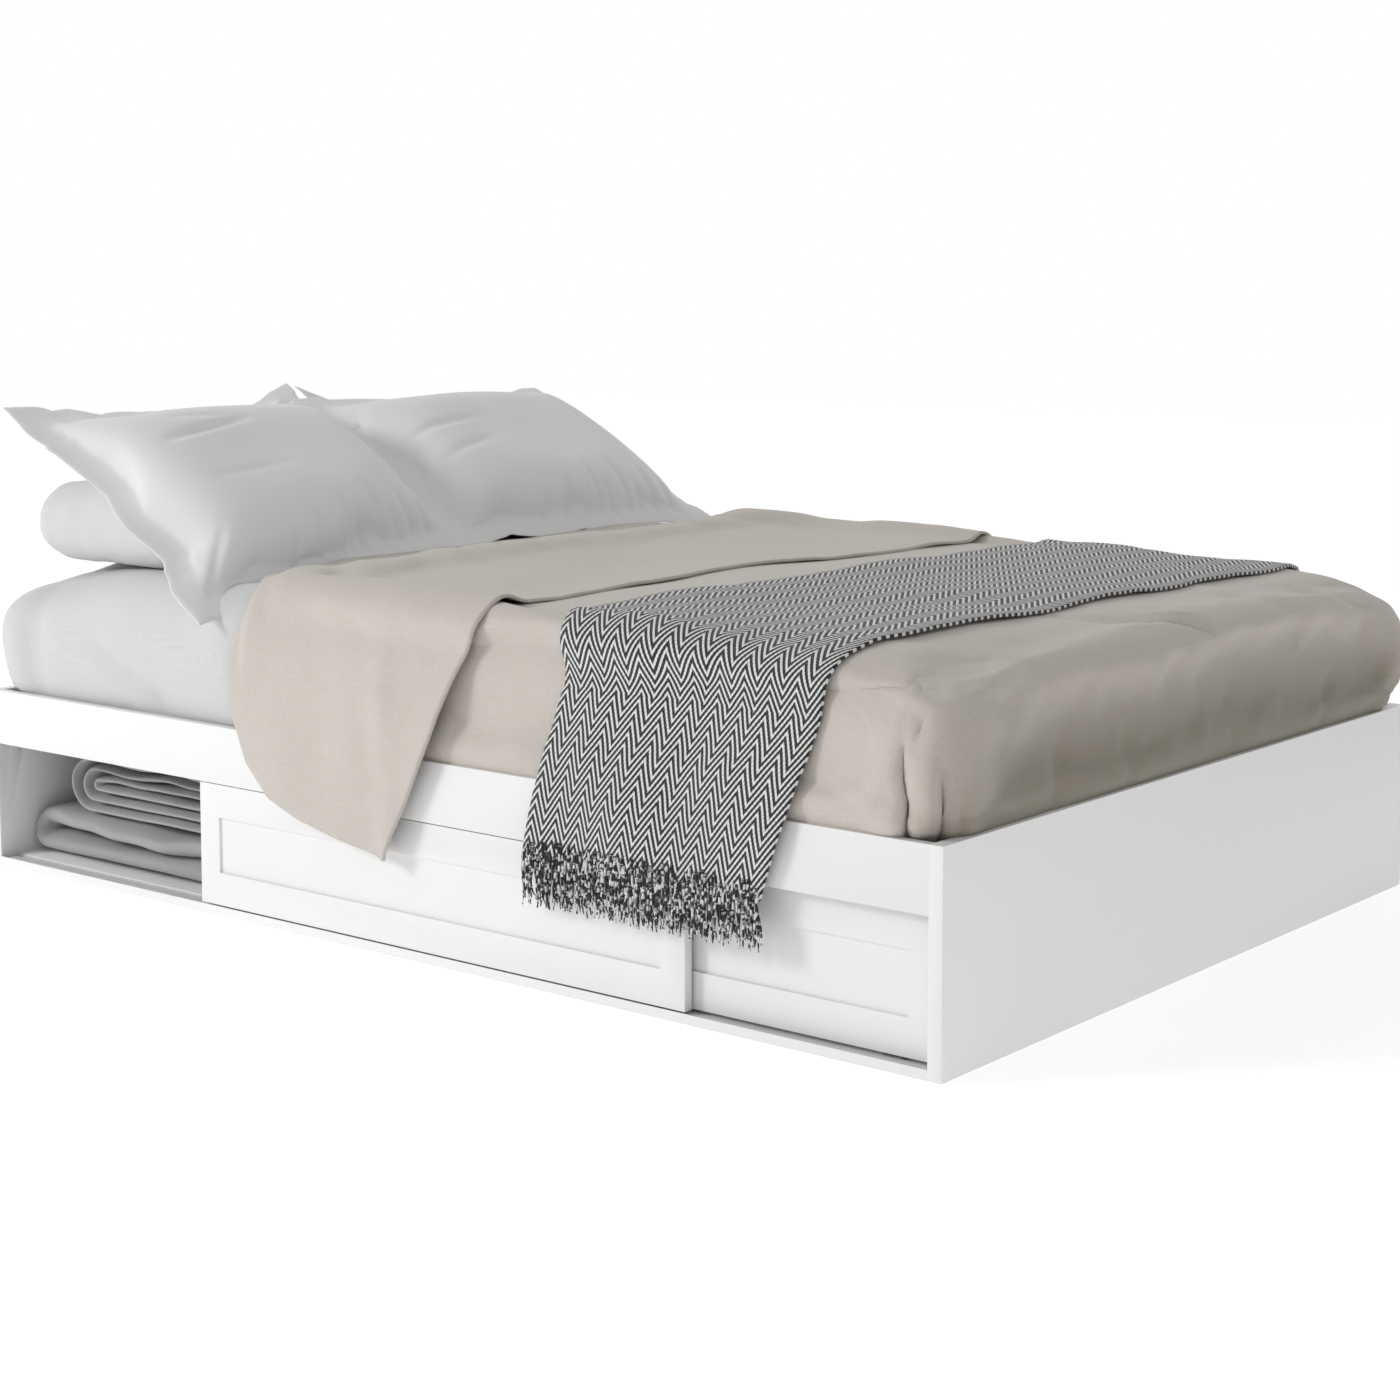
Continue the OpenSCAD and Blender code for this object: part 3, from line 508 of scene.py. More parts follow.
def linen_finish(name, light, dark, coords="UV"):
    """Washed linen: noise stretched along each thread way gives slubs, crossed in bump and colour.

    Painted shade: where the cloth falls over the foot end, below the bed's top edge, its colour turns
    to a dark brown that stands for the shade on the foot face."""
    f = Finish(name, Specular_IOR_Level=0.15, Sheen_Weight=0.2, Sheen_Roughness=0.6)
    at = f.place(coords)
    warp = f.noise(f.stretched(at, 620.0, 26.0, 60.0), 1.0, 3.0)
    weft = f.noise(f.stretched(at, 26.0, 620.0, 60.0), 1.0, 3.0)
    cloud = f.noise(at, 1.6, 3.0)
    slubs = warp * 0.5 + weft * 0.5
    cloth = f.mix(slubs.above(0.5, 0.3) * 0.7 + cloud * 0.3, dark, light)
    # Painted shade: below the foot end's top edge the linen's colour is mixed towards a dark brown,
    # for the shade on the foot face.
    foot_painted_shade = (FOOT - f.axes(at)[1] + cloud * 0.03).above(0.11, 0.10)
    f.colour(f.mix(foot_painted_shade * 0.95, cloth, f.mix(slubs, (0.165, 0.145, 0.11), (0.235, 0.21, 0.165))))
    f.rough(slubs * 0.15 + 0.78)
    f.bump(slubs, 0.0009)
    return f.material


SHEET_COTTON = cotton_finish("fitted_sheet_cotton", (0.60, 0.60, 0.605))
PILLOW_COTTON = cotton_finish("pillow_cotton", (0.80, 0.80, 0.805))
# Painted shade: the flat pillows' cotton is a darker copy of the pillows' cotton, standing in for the
# shade on them.
FLAT_COTTON_PAINTED_SHADE = cotton_finish("flat_pillow_cotton_painted_shade", (0.58, 0.58, 0.585))
# Painted shade: the folded blankets' cotton is a dark grey, standing in for the shade inside the
# compartment they lie in.
BLANKET_COTTON_PAINTED_SHADE = cotton_finish("blanket_cotton", (0.38, 0.38, 0.375))
DUVET_LINEN = linen_finish("duvet_linen", (0.590, 0.552, 0.510), (0.480, 0.437, 0.388))
print("cloth finishes ready")

# %% [markdown]
# ## The mattress in its fitted sheet
# A mattress is a block with soft edges, drawn tight by its sheet, with long shallow creases from
# the corners. The block's skin is cut into a grid, its edges are rounded by moving each point to
# a fixed distance from a smaller box inside, and slow waves and a few creases are added.

# %% Block with soft edges
def stations(low, high, step, fine):
    """Places from low to high, one step apart, or one fine step apart near either end."""
    dense = min(0.07, (high - low) / 4)
    ends = np.linspace(0, dense, max(2, round(dense / fine)), endpoint=False)
    middle = np.linspace(low + dense, high - dense, max(3, round((high - low - 2 * dense) / step)))
    return np.concatenate([low + ends, middle, high - ends[::-1]])


def box_skin(low, high, step, fine, open_sides=()):
    """Points and quads of a box's faces, cut into a grid; open_sides lists (axis, end) left out."""
    points, faces, count = [], [], 0
    for axis in range(3):
        others = [a for a in range(3) if a != axis]
        lines = [stations(low[a], high[a], step, fine) for a in others]
        for end, level in enumerate((low[axis], high[axis])):
            if (axis, end) in open_sides:
                continue
            one, two = np.meshgrid(*lines, indexing="ij")
            sheet = np.empty((*one.shape, 3))
            sheet[..., others[0]], sheet[..., others[1]], sheet[..., axis] = one, two, level
            quads = grid_faces(*one.shape, start=count)
            outward = (end == 1) != (axis == 1)
            faces.append(quads if outward else quads[:, ::-1])
            points.append(sheet.reshape(-1, 3))
            count += one.size
    points, faces = np.concatenate(points), np.concatenate(faces)
    keys = np.round(points * 1e5).astype(np.int64)
    _, first, back = np.unique(keys, axis=0, return_index=True, return_inverse=True)
    return points[first], back.reshape(-1)[faces]


def soften(points, low, high, radius):
    """Rounded box: each point moves to one radius from the nearest point of the box shrunk by it."""
    core = np.clip(points, np.array(low) + radius, np.array(high) - radius)
    away = points - core
    away /= np.maximum(np.linalg.norm(away, axis=1, keepdims=True), 1e-9)
    return core + radius * away, away


print("block helpers ready")

# %% Mattress
MATTRESS_ROUND, SHEET_LIFT, UNDER_DUVET, HIDDEN_DEPTH = 0.080, 0.002, 0.016, 0.070


def fitted_mattress():
    """The mattress's box, rounded, swollen between its edges and creased, held inside the boards.

    The box starts deeper than the mattress, so that only its hidden part has a rounded lower edge;
    the points below the real underside are lifted onto it at the end."""
    low, high = corners("mattress")
    low = low + [0.0, 0.0, SHEET_LIFT]
    deep = low - [0.0, 0.0, HIDDEN_DEPTH]
    points, faces = box_skin(deep, high, 0.017, 0.010)
    points, away = soften(points, deep, high, MATTRESS_ROUND)
    side = smooth(np.abs(away[:, 0]) + np.abs(away[:, 1]), 0.3, 0.9)
    level = np.clip((points[:, 2] - low[2]) / (high[2] - low[2]), 0, 1)
    square = 0.040 * np.abs(away[:, 0] * away[:, 1]) * smooth(level, 0.02, 0.15)
    swell = (0.018 * side + 0.022 * np.clip(away[:, 1], 0, 1)) * np.sin(np.pi * level) + square
    covered = smooth(-points[:, 1], -0.40, -0.25)
    slack = 0.0022 * waves(points, 11, 0.34) + 0.0008 * waves(points, 12, 0.12)
    near_corner = smooth(np.abs(points[:, 0]), 0.42, 0.70) * smooth(np.abs(points[:, 1]), 0.68, 1.0)
    sag = 0.045 * near_corner * smooth(level, 0.4, 1)
    pulls = [((low[0], 0.76, 0.435), (low[0], 0.55, 0.318), 0.014, 0.013),
             ((low[0], 0.70, 0.475), (low[0], 0.63, 0.40), 0.014, 0.004),
             ((low[0], 0.925, 0.30), (low[0], 0.90, 0.50), 0.026, 0.008),
             ((low[0], 0.60, 0.30), (low[0], 0.57, 0.40), 0.020, 0.004),
             ((-0.60, 0.95, BED_TOP), (-0.30, 0.80, BED_TOP), 0.02, 0.005)]
    mirrored = points * [-1, 1, 1]
    dents = sum(crease(spot, *pull) for pull in pulls for spot in (points, mirrored))
    bare = (swell + slack - dents) * (1 - covered) - UNDER_DUVET * covered
    points = points + away * bare[:, None] - [0, 0, 1] * sag[:, None]
    over = np.maximum(points[:, 2:] - RAIL_TOP - 0.002, 0) * 1.3
    room = np.array([RAIL_INNER, HEAD]) - 0.0005 + over
    points[:, :2] = np.clip(points[:, :2], -room, room)
    points[:, 2] = np.maximum(points[:, 2], low[2])
    return to_mesh("mattress_in_fitted_sheet", points, faces)


mattress = fitted_mattress()
finish_piece(mattress, SHEET_COTTON, "fitted_sheet_cotton", "bed", "mattress")
print("mattress:", len(mattress.data.polygons), "faces")

# %% [markdown]
# ## The cloth solver
# Padded cloth gets its gathers and soft folds from Blender's own cloth solver: a few frames of
# inner pressure with gravity off. Points can be held still, as a hem that is tucked in is held.

# %% Cloth solver
def solve_cloth(piece, pressure, frames, shrink=0.0, held=None):
    """Runs Blender's cloth with inner pressure and no gravity, and returns the points it ends with.

    A negative shrink makes the cloth grow, so it buckles into soft folds between its held points."""
    cloth = piece.modifiers.new("cloth", "CLOTH")
    settings = cloth.settings
    settings.quality = 6
    settings.mass = 0.25
    settings.tension_stiffness = 12
    settings.compression_stiffness = 12
    settings.shear_stiffness = 4
    settings.bending_stiffness = 0.12
    settings.use_pressure = True
    settings.uniform_pressure_force = pressure
    settings.shrink_min = shrink
    settings.effector_weights.gravity = 0.0
    if held is not None:
        group = piece.vertex_groups.new(name="held")
        group.add(np.flatnonzero(held).tolist(), 1.0, "REPLACE")
        settings.vertex_group_mass = "held"
    scene = bpy.context.scene
    cloth.point_cache.frame_start = 1
    cloth.point_cache.frame_end = frames
    for number in range(1, frames + 1):
        scene.frame_set(number)
    solved = piece.evaluated_get(bpy.context.evaluated_depsgraph_get())
    found = np.empty(len(piece.data.vertices) * 3)
    solved.data.vertices.foreach_get("co", found)
    piece.modifiers.remove(cloth)
    scene.frame_set(1)
    return found.reshape(-1, 3)


print("cloth solver ready")

# %% [markdown]
# ## The duvet
# It covers the lower two thirds of the bed and is pushed down between the mattress and the
# boards on three sides. Being thick and soft it rounds the mattress's edges off, bulges a little
# over the rails, and gathers in pleats at the two foot corners where there is cloth to spare.

# %% Duvet
TUCKED, TO_BOARD, DUVET_ROUND, COVER_THICK = 0.016, 0.001, 0.112, 0.007
DUVET_TUCK = RAIL_TOP - TUCKED
DUVET_END = DUVET_HEAD - 0.14
MOST_MOVE = 0.018


def duvet_cover():
    """The duvet's box, rounded and swollen, moved by the cloth solver, then pleated and folded.

    Pleats are measured on the box before it is rounded; folds, on the cover opened out flat."""
    low = np.array([-RAIL_INNER + TO_BOARD, FOOT + TO_BOARD, DUVET_TUCK])
    high = np.array([RAIL_INNER - TO_BOARD, DUVET_END, DUVET_TOP])
    flat_points, faces = box_skin(low, high, 0.0155, 0.0065, open_sides=((2, 0), (1, 1)))
    shell_low, shell_high = low - [0, 0, 0.3], high + [0, 0.4, 0]
    points, away = soften(flat_points, shell_low, shell_high, DUVET_ROUND)
    height = np.clip((points[:, 2] - RAIL_TOP) / (DUVET_TOP - RAIL_TOP), 0, 1)
    side = smooth(np.hypot(away[:, 0], away[:, 1]), 0.2, 0.95)
    at_foot = smooth(-away[:, 1], 0.1, 0.9)
    arch = np.sin(np.pi * np.clip(height * 0.95 + 0.03, 0, 1)) ** 0.7
    swell = (0.014 + 0.017 * at_foot) * side * arch
    loose = smooth(height, 0.0, 0.10)
    slope = 0.018 * smooth(-points[:, 1], 0.80, 1.0) * smooth(height, 0.45, 1.0)
    low_part = (1 - smooth(height, 0.35, 0.95)) * smooth(height, -0.05, 0.08)
    square = 0.050 * np.abs(away[:, 0] * away[:, 1]) * low_part
    uneven = 0.0035 * loose * waves(points * [1, 1, 0.6], 21, 0.42)
    points = points + away * (swell + square + uneven)[:, None]
    points[:, 2] -= slope
    held = (flat_points[:, 2] < RAIL_TOP + 0.008) | (flat_points[:, 1] > DUVET_END - 0.002)
    rough = 0.0016 * loose * waves(points, 24, 0.09)
    start = to_mesh("duvet_start", points + away * rough[:, None], faces)
    settled = solve_cloth(start, 0.5, 20, shrink=-0.035, held=held)
    bpy.data.objects.remove(start)
    move = (settled - points) * smooth(height, 0.0, 0.45)[:, None]
    far = np.linalg.norm(move, axis=1, keepdims=True)
    points = points + move * np.minimum(1, MOST_MOVE / np.maximum(far, 1e-9))
    x, y, z = -RAIL_INNER, FOOT, RAIL_TOP
    pleats = [((x, y + 0.044, z - 0.05), (x, y + 0.052, z + 0.15), 0.0085, 0.030),
              ((x, y + 0.085, z + 0.01), (x, y + 0.082, z + 0.15), 0.016, -0.006),
              ((x, y + 0.040, z + 0.14), (x, y + 0.014, z + 0.19), 0.011, 0.011),
              ((x, y + 0.012, z + 0.02), (x, y + 0.016, z + 0.13), 0.011, -0.006),
              ((x + 0.018, y, z - 0.02), (x + 0.006, y, z + 0.12), 0.010, 0.014),
              ((x + 0.050, y, z + 0.00), (x + 0.036, y, z + 0.11), 0.012, 0.009),
              ((x + 0.10, y, z + 0.00), (x + 0.07, y, z + 0.08), 0.014, 0.006)]
    drop = DUVET_TOP - flat_points[:, 2]
    share = np.abs(away[:, 0]) / np.maximum(np.abs(away[:, 0]) + np.abs(away[:, 1]), 1e-6)
    uv = np.stack([flat_points[:, 0] + np.sign(flat_points[:, 0]) * drop * share,
                   flat_points[:, 1] - drop * (1 - share)], -1)
    folds = [((-0.21, y + 0.14), (-0.10, y + 0.02), 0.014, 0.009),
             ((-0.13, y + 0.06), (0.06, y - 0.09), 0.012, 0.011),
             ((-0.06, y + 0.05), (0.04, y - 0.03), 0.009, 0.006),
             ((-0.10, y + 0.10), (0.02, y - 0.01), 0.014, -0.006),
             ((-0.55, y + 0.12), (-0.40, y - 0.14), 0.028, 0.008),
             ((0.18, y + 0.10), (0.34, y - 0.12), 0.026, 0.008),
             ((0.42, y + 0.08), (0.55, y - 0.12), 0.024, 0.007),
             ((-0.44, y - 0.24), (-0.41, y - 0.14), 0.020, 0.007),
             ((-0.22, y - 0.24), (-0.25, y - 0.15), 0.018, 0.006),
             ((0.10, y - 0.24), (0.06, y - 0.14), 0.020, 0.006),
             ((0.40, y - 0.24), (0.43, y - 0.15), 0.020, 0.006)]
    opened = np.column_stack([uv, 0 * drop])
    dents = sum(crease(flat_points * [way, 1, 1], *pleat) for pleat in pleats for way in (1, -1))
    dents = dents + sum(crease(opened, (*a, 0), (*b, 0), width, depth)
                        for a, b, width, depth in folds)
    points = points - away * dents[:, None]
    made = to_mesh("duvet_cover", points, faces, uv=uv)
    add(made, "SOLIDIFY", thickness=COVER_THICK, offset=-1.0)
    return made


duvet = duvet_cover()
finish_piece(duvet, DUVET_LINEN, "duvet_linen", "bed", "duvet")
print("duvet:", len(duvet.data.polygons), "faces")

# %% [markdown]
# ## Cloth over the bed
# The turned-down band and the throw both lie across the bed and hang down each side. Their
# section is one path: flat on top, a round shoulder, then straight down just outside the rail.
# A point on such a cloth is given by its distance from the middle along that path and its place
# along the bed.

# %% What the cloth lies on
bed_top = BVHTree.FromPolygons(
    [list(v.co) for made in (mattress, duvet) for v in made.data.vertices],
    [[i + shift for i in face.vertices]
     for made, shift in ((mattress, 0), (duvet, len(mattress.data.vertices)))
     for face in made.data.polygons])


def blurred(field, passes=10):
    """Averages a grid of numbers with its neighbours, over and over."""
    for _ in range(passes):
        field = np.pad(field, 1, mode="edge")
        sides = field[:-2, 1:-1] + field[2:, 1:-1] + field[1:-1, :-2] + field[1:-1, 2:]
        field = (sides + 2 * field[1:-1, 1:-1]) / 6
    return field


def resting(spot, out, gap, hang, reach=0.12):
    """How far along its outward way each point must move to lie on the bed, a gap above it.

    Where the cloth hangs, it may only move outward.

    A ray runs back towards the bed from outside; where it misses, the point keeps its place.
    Each point takes the highest need near it, and then the heights are blurred, so the bed stays
    below the cloth."""
    found = np.full(spot.shape[:2], -gap)
    for index in np.ndindex(found.shape):
        way = Vector(out[index])
        hit = bed_top.ray_cast(Vector(spot[index]) + way * reach, -way, 2 * reach)
        if hit[3] is not None:
            found[index] = reach - hit[3]
    for _ in range(3):
        wide = np.pad(found, 1, mode="edge")
        found = np.max([wide[i:i + found.shape[0], j:j + found.shape[1]]
                        for i in range(3) for j in range(3)], axis=0)
    rest = blurred(found, 8) + gap
    return rest + (np.maximum(rest, 0) - rest) * hang


print("bed surface ready")

# %% Path over the bed
SHOULDER = 0.108
HANG_X = SIDE + 0.012
PATH_TOP = DUVET_TOP + 0.004
CLOTH_THICK = 0.005


def over_bed(s, lift=0.0):
    """Path across the bed at signed distance s from the middle: x, z and the outward direction."""
    flat = HANG_X - SHOULDER
    way, s = np.sign(s), np.abs(s)
    turn = np.clip((s - flat) / SHOULDER, 0, np.pi / 2)
    drop = np.maximum(s - flat - SHOULDER * np.pi / 2, 0)
    x = np.minimum(s, flat) + (SHOULDER + lift) * np.sin(turn)
    z = PATH_TOP - SHOULDER + (SHOULDER + lift) * np.cos(turn) - drop
    return way * x, z, np.stack([way * np.sin(turn), np.zeros_like(s), np.cos(turn)], -1)


SHOULDER_S = HANG_X - SHOULDER + SHOULDER * np.pi / 2
print("half path to the shoulder's end:", round(SHOULDER_S, 3))

# %% Turned-down band
def bent(x, knots):
    """A line through knots (place, value) with its corners rounded off."""
    places, values = np.array(knots, float).T
    return sum(np.interp(x + shift, places, values) for shift in np.linspace(-0.03, 0.03, 9)) / 9


BAND_GAP, BAND_DROP, BAND_DEPTH = 0.009, 0.33, 0.70
BAND_HEM = [(-1.1, -0.010), (-1.01, -0.055), (-0.90, -0.110), (-0.80, -0.150), (-0.72, -0.185),
            (-0.534, -0.188), (-0.129, -0.142), (0.128, -0.160), (0.35, -0.205), (0.72, -0.200),
            (0.90, -0.120), (1.1, -0.020)]
TIP_OUTLINE = [(0.0, 0.160, -0.012), (0.10, 0.169, 0.044), (0.24, 0.181, 0.120), (0.38, 0.194, 0.184),
               (0.56, 0.225, 0.262), (0.72, 0.273, 0.314), (0.88, 0.343, 0.343), (1.0, 0.425, 0.353)]


def turned_down():
    """Grid: rows run along the path over the bed, columns run from the hem to the fold and under.

    Each column ends at its own place of the band's outline, which runs from a tip to the fold."""
    rows, columns = 281, 72
    side = np.linspace(-1, 1, rows)[:, None]
    across = np.linspace(0, 1.08, columns)[None, :]
    band = np.minimum(across, 1.0)
    share, end_z, end_y = np.array(TIP_OUTLINE).T
    end = SHOULDER_S + (PATH_TOP - SHOULDER) - np.interp(band, share, end_z)
    s = side * end
    hang = smooth(np.abs(s), SHOULDER_S - 0.12, SHOULDER_S + 0.10)
    low = np.clip((np.abs(s) - SHOULDER_S + 0.10) / (end - SHOULDER_S + 0.10), 0, 1)
    hem_y = bent(s, BAND_HEM)
    x, z, out = over_bed(s)
    fold_y = np.minimum(0.505 - 0.322 * x**2, 0.475)
    plain_y = hem_y + (fold_y - hem_y) * band
    y = plain_y + (np.interp(band, share, end_y) - plain_y) * low**1.3 * smooth(band, 0.0, 0.12)
    under = np.maximum(across - 1.0, 0) / 0.08
    spot = np.stack([x, y, z], -1)
    rest = resting(spot, np.broadcast_to(out, spot.shape), BAND_GAP, hang)
    lift = rest + 0.0014 * waves(spot, 31, 0.30) + 0.0006 * waves(spot, 32, 0.11)
    lift = lift + hang * 0.0018 * waves(spot * [0.2, 1, 0.35], 33, 0.16)
    ridge = np.exp(-(((y - hem_y - 0.085 - 0.55 * (z - 0.33)) / 0.030) ** 2)) * hang
    lift = lift + 0.010 * ridge + 0.006 * hang + 0.006 * np.exp(-((band / 0.05) ** 2)) * hang
    roll = smooth(band, 0.80, 0.95)
    lift = lift + 0.006 * roll * (1 - hang) - 0.012 * smooth(under, 0, 0.5)
    y = y + 0.010 * np.sin(np.pi * np.clip(under, 0, 1) / 2) - 0.040 * smooth(under, 0.3, 1.0)
    spot = np.stack([x, y, z], -1) + out * lift[..., None]
    uv = np.stack([s, y], -1)
    made = to_mesh("duvet_turned_down_band", spot, grid_faces(rows, columns)[:, ::-1], uv=uv)
    add(made, "SOLIDIFY", thickness=CLOTH_THICK, offset=0.0)
    return made


band = turned_down()
finish_piece(band, DUVET_LINEN, "duvet_linen", "bed", "duvet_turndown")
2 * (SHOULDER_S + BAND_DROP)
print("turned-down band:", len(band.data.polygons), "faces")

# %% [markdown]
# ## The throw
# A herringbone cloth is a twill whose slant turns back every few threads. In the throw's own UV
# map, u runs across its width and v along its length: a zigzag of u bends the stripes of v into
# chevrons. The yarns are thick, so each stripe is broken into short stitches in bump.

# %% Herringbone finish
COLUMN, SLANT, STRIPE, YARN = 0.0245, 1.72, 0.0164, 0.0032


def herringbone_finish():
    """Stripes of v plus a zigzag of u, cut to black and white, with yarn stitches as bump."""
    f = Finish("herringbone_wool", Specular_IOR_Level=0.1, Sheen_Weight=0.35, Sheen_Roughness=0.5)
    at = f.place("UV")
    u, v = f.axes(at)[:2]
    drift = f.noise(at, 9.0, 2.0)
    slant = u.zigzag(COLUMN) * SLANT
    stripe = ((v + slant + drift * 0.003) * (2 * math.pi / STRIPE)).sine()
    yarn = (u * (2 * math.pi / YARN)).sine() * 0.5 + 0.5
    fray = f.noise(at, 900.0, 2.0)
    white = (stripe + fray * 0.8 - 0.40 + yarn * 0.22 - 0.33).above(0.0, 0.15)
    tone = f.noise(at, 500.0, 2.0)
    f.colour(f.mix(white, f.mix(tone, (0.012, 0.012, 0.013), (0.035, 0.035, 0.038)),
                   f.mix(tone, (0.70, 0.70, 0.69), (0.90, 0.90, 0.89))))
    f.rough(fray * 0.1 + 0.82)
    f.bump(stripe * 0.3 + yarn * 0.35 + fray * 0.35, 0.0022)
    return f.material


def fringe_finish():
    """Twisted yarn ends: black and white in short turns along each strand."""
    f = Finish("fringe_yarn", Specular_IOR_Level=0.1, Sheen_Weight=0.3, Sheen_Roughness=0.5)
    at = f.place("UV")
    blend = f.noise(f.stretched(at, 130.0, 95.0, 1.0), 1.0, 2.0)
    fray = f.noise(at, 1200.0, 2.0)
    f.colour(f.mix((blend + fray * 0.25).above(0.66, 0.05), (0.03, 0.03, 0.033), (0.78, 0.78, 0.77)))
    f.rough(fray * 0.1 + 0.82)
    f.bump(fray, 0.0010)
    return f.material


HERRINGBONE = herringbone_finish()
FRINGE = fringe_finish()
print("throw finishes ready")

# %% Throw
THROW_LOW, THROW_HIGH = corners("throw_blanket")
THROW_WIDTH, THROW_END, THROW_GAP = 0.50, 0.205, 0.011
THROW_DROP = PATH_TOP - SHOULDER - THROW_END


def throw_edges(s):
    """The throw's two edges along the bed at path distance s: it narrows and swings as it hangs."""
    drop = np.clip((np.abs(s) - SHOULDER_S) / THROW_DROP, 0, 1)
    near = smooth(np.abs(s), SHOULDER_S - 0.25, SHOULDER_S)
    foot_edge = THROW_LOW[1] + 0.035 * near + 0.090 * drop
    head_edge = THROW_HIGH[1] - 0.045 * near + 0.065 * drop**0.8
    return foot_edge, head_edge


def throw_cloth():
    """Grid: rows run along the path over the bed, columns from the foot edge to the head edge."""
    rows, columns = 300, 72
    s = np.linspace(-1, 1, rows)[:, None] * (SHOULDER_S + THROW_DROP)
    t = np.linspace(0, 1, columns)[None, :]
    foot_edge, head_edge = throw_edges(s)
    y = foot_edge + (head_edge - foot_edge) * t
    x, z, out = over_bed(s + 0 * t)
    spot = np.stack([x, y, z], -1)
    hang = smooth(np.abs(s), SHOULDER_S - 0.04, SHOULDER_S + 0.25)
    rest = resting(spot, np.broadcast_to(out, spot.shape), THROW_GAP, hang)
    lift = rest + 0.0014 * waves(spot, 41, 0.26) + 0.0006 * waves(spot, 42, 0.09)
    lift = lift + 0.007 * hang * (1 + 0.6 * waves(spot * [0.1, 1, 0.2], 43, 0.2))
    spot = spot + out * lift[..., None]
    uv = np.stack([t * THROW_WIDTH + 0 * s, s + 0 * t], -1)
    made = to_mesh("herringbone_throw", spot, grid_faces(rows, columns), uv=uv)
    add(made, "SOLIDIFY", thickness=CLOTH_THICK, offset=0.0)
    return made, spot


throw, throw_points = throw_cloth()
finish_piece(throw, HERRINGBONE, "herringbone_wool", "bed", "throw_blanket")
print("throw:", len(throw.data.polygons), "faces")

# %% Fringe
def fringe(edge, inner, seed, strands=250, length=0.068):
    """Tapering tubes that start on the cloth near its last row; each sways by its own sine."""
    draw = np.random.default_rng(seed)
    at = (np.arange(strands) + draw.uniform(0, 0.9, strands)) / strands * (len(edge) - 1.01)
    low = at.astype(int)
    share = (at - low)[:, None]
    root = edge[low] * (1 - share) + edge[low + 1] * share
    above = inner[low] * (1 - share) + inner[low + 1] * share
    steps, sides = 9, 4
    t = np.linspace(0, 1, steps)[None, :, None]
    start = draw.uniform(0.0, 1.0, (strands, 1)) ** 2
    root = root + (above - root) * start
    out_way = np.sign(root[:, :1]) * [[1.0, 0.0, 0.0]]
    own_length = length * draw.uniform(0.8, 1.05, (strands, 1))
    long = (own_length + (above - edge[low])[:, 2:] * start)[:, None]
    bunch_turn = np.arange(strands) * 2 * np.pi / 11.0 + draw.normal(0, 0.5, strands)
    bunch = 0.0035 * np.sin(bunch_turn)[:, None, None]
    sway = (draw.normal(0, 0.004, (strands, 1, 1)) - bunch) * t**1.5 + 0.0020 * np.sin(
        t * draw.uniform(4, 9, (strands, 1, 1)) + draw.uniform(0, 6, (strands, 1, 1)))
    out = 0.0035 + draw.normal(0.0, 0.0022, (strands, 1, 1)) * np.sin(t * 3)
    line = root[:, None, :] + out * out_way[:, None] + np.concatenate([0 * sway, sway, -long * t], -1)
    line[:, 0, 2] += 0.004
    turn = np.linspace(0, 2 * np.pi, sides, endpoint=False)[None, None, :, None]
    radius = 0.0023 * (1 - 0.5 * t[..., None] ** 3)
    ring = np.concatenate([np.cos(turn) * radius, np.sin(turn) * radius, 0 * turn * radius], -1)
    points = line[:, :, None, :] + ring
    one = grid_faces(steps, sides, wrap_columns=True)[:, ::-1]
    caps = np.array([np.arange(sides), np.arange(sides)[::-1] + (steps - 1) * sides])
    one = np.concatenate([one, caps])
    faces = (one[None] + (np.arange(strands) * steps * sides)[:, None, None]).reshape(-1, 4)
    along = np.broadcast_to((long * t)[..., None], (strands, steps, sides, 1))
    which = np.broadcast_to(draw.uniform(0, 9, (strands, 1, 1, 1)), along.shape)
    return points.reshape(-1, 3), faces, np.concatenate([which, along], -1).reshape(-1, 2)


fringe_parts = [fringe(throw_points[0], throw_points[4], 51),
                fringe(throw_points[-1], throw_points[-5], 52)]
count = len(fringe_parts[0][0])
fringe_piece = to_mesh(
    "throw_fringe", np.concatenate([p[0] for p in fringe_parts]),
    np.concatenate([fringe_parts[0][1], fringe_parts[1][1] + count]),
    uv=np.concatenate([p[2] for p in fringe_parts]))
finish_piece(fringe_piece, FRINGE, "herringbone_wool", "bed")
2 * (SHOULDER_S + THROW_DROP)
print("fringe:", len(fringe_piece.data.polygons), "faces")

# %% [markdown]
# ## Pillows
# A pillow is two flat pieces of cloth sewn round their edge and stuffed. The way its sides pull
# in, its corners stay flat and small gathers run in from the seam comes from that, so it is made
# that way: a flat bag is blown up by the cloth solver, then its flat hem is added round the seam,
# and the whole pillow is laid between four chosen corner points with a bend. The two plain pillows
# under them show only a rounded end, so a rounded box with a crown is enough.

# %% Flat bag
def closed_bag(upper, lower):
    """Joins two grids of points into one closed surface on which they share the upper grid's rim."""
    nu, nv = upper.shape[:2]
    inside = np.zeros((nu, nv), bool)
    inside[1:-1, 1:-1] = True
    index = np.arange(nu * nv).reshape(nu, nv)
    lower_index = np.where(inside, nu * nv + np.cumsum(inside).reshape(nu, nv) - 1, index).ravel()
    quads = grid_faces(nu, nv)
    points = np.concatenate([upper.reshape(-1, 3), lower[inside]])
    return points, np.concatenate([quads, lower_index[quads][:, ::-1]]), lower_index


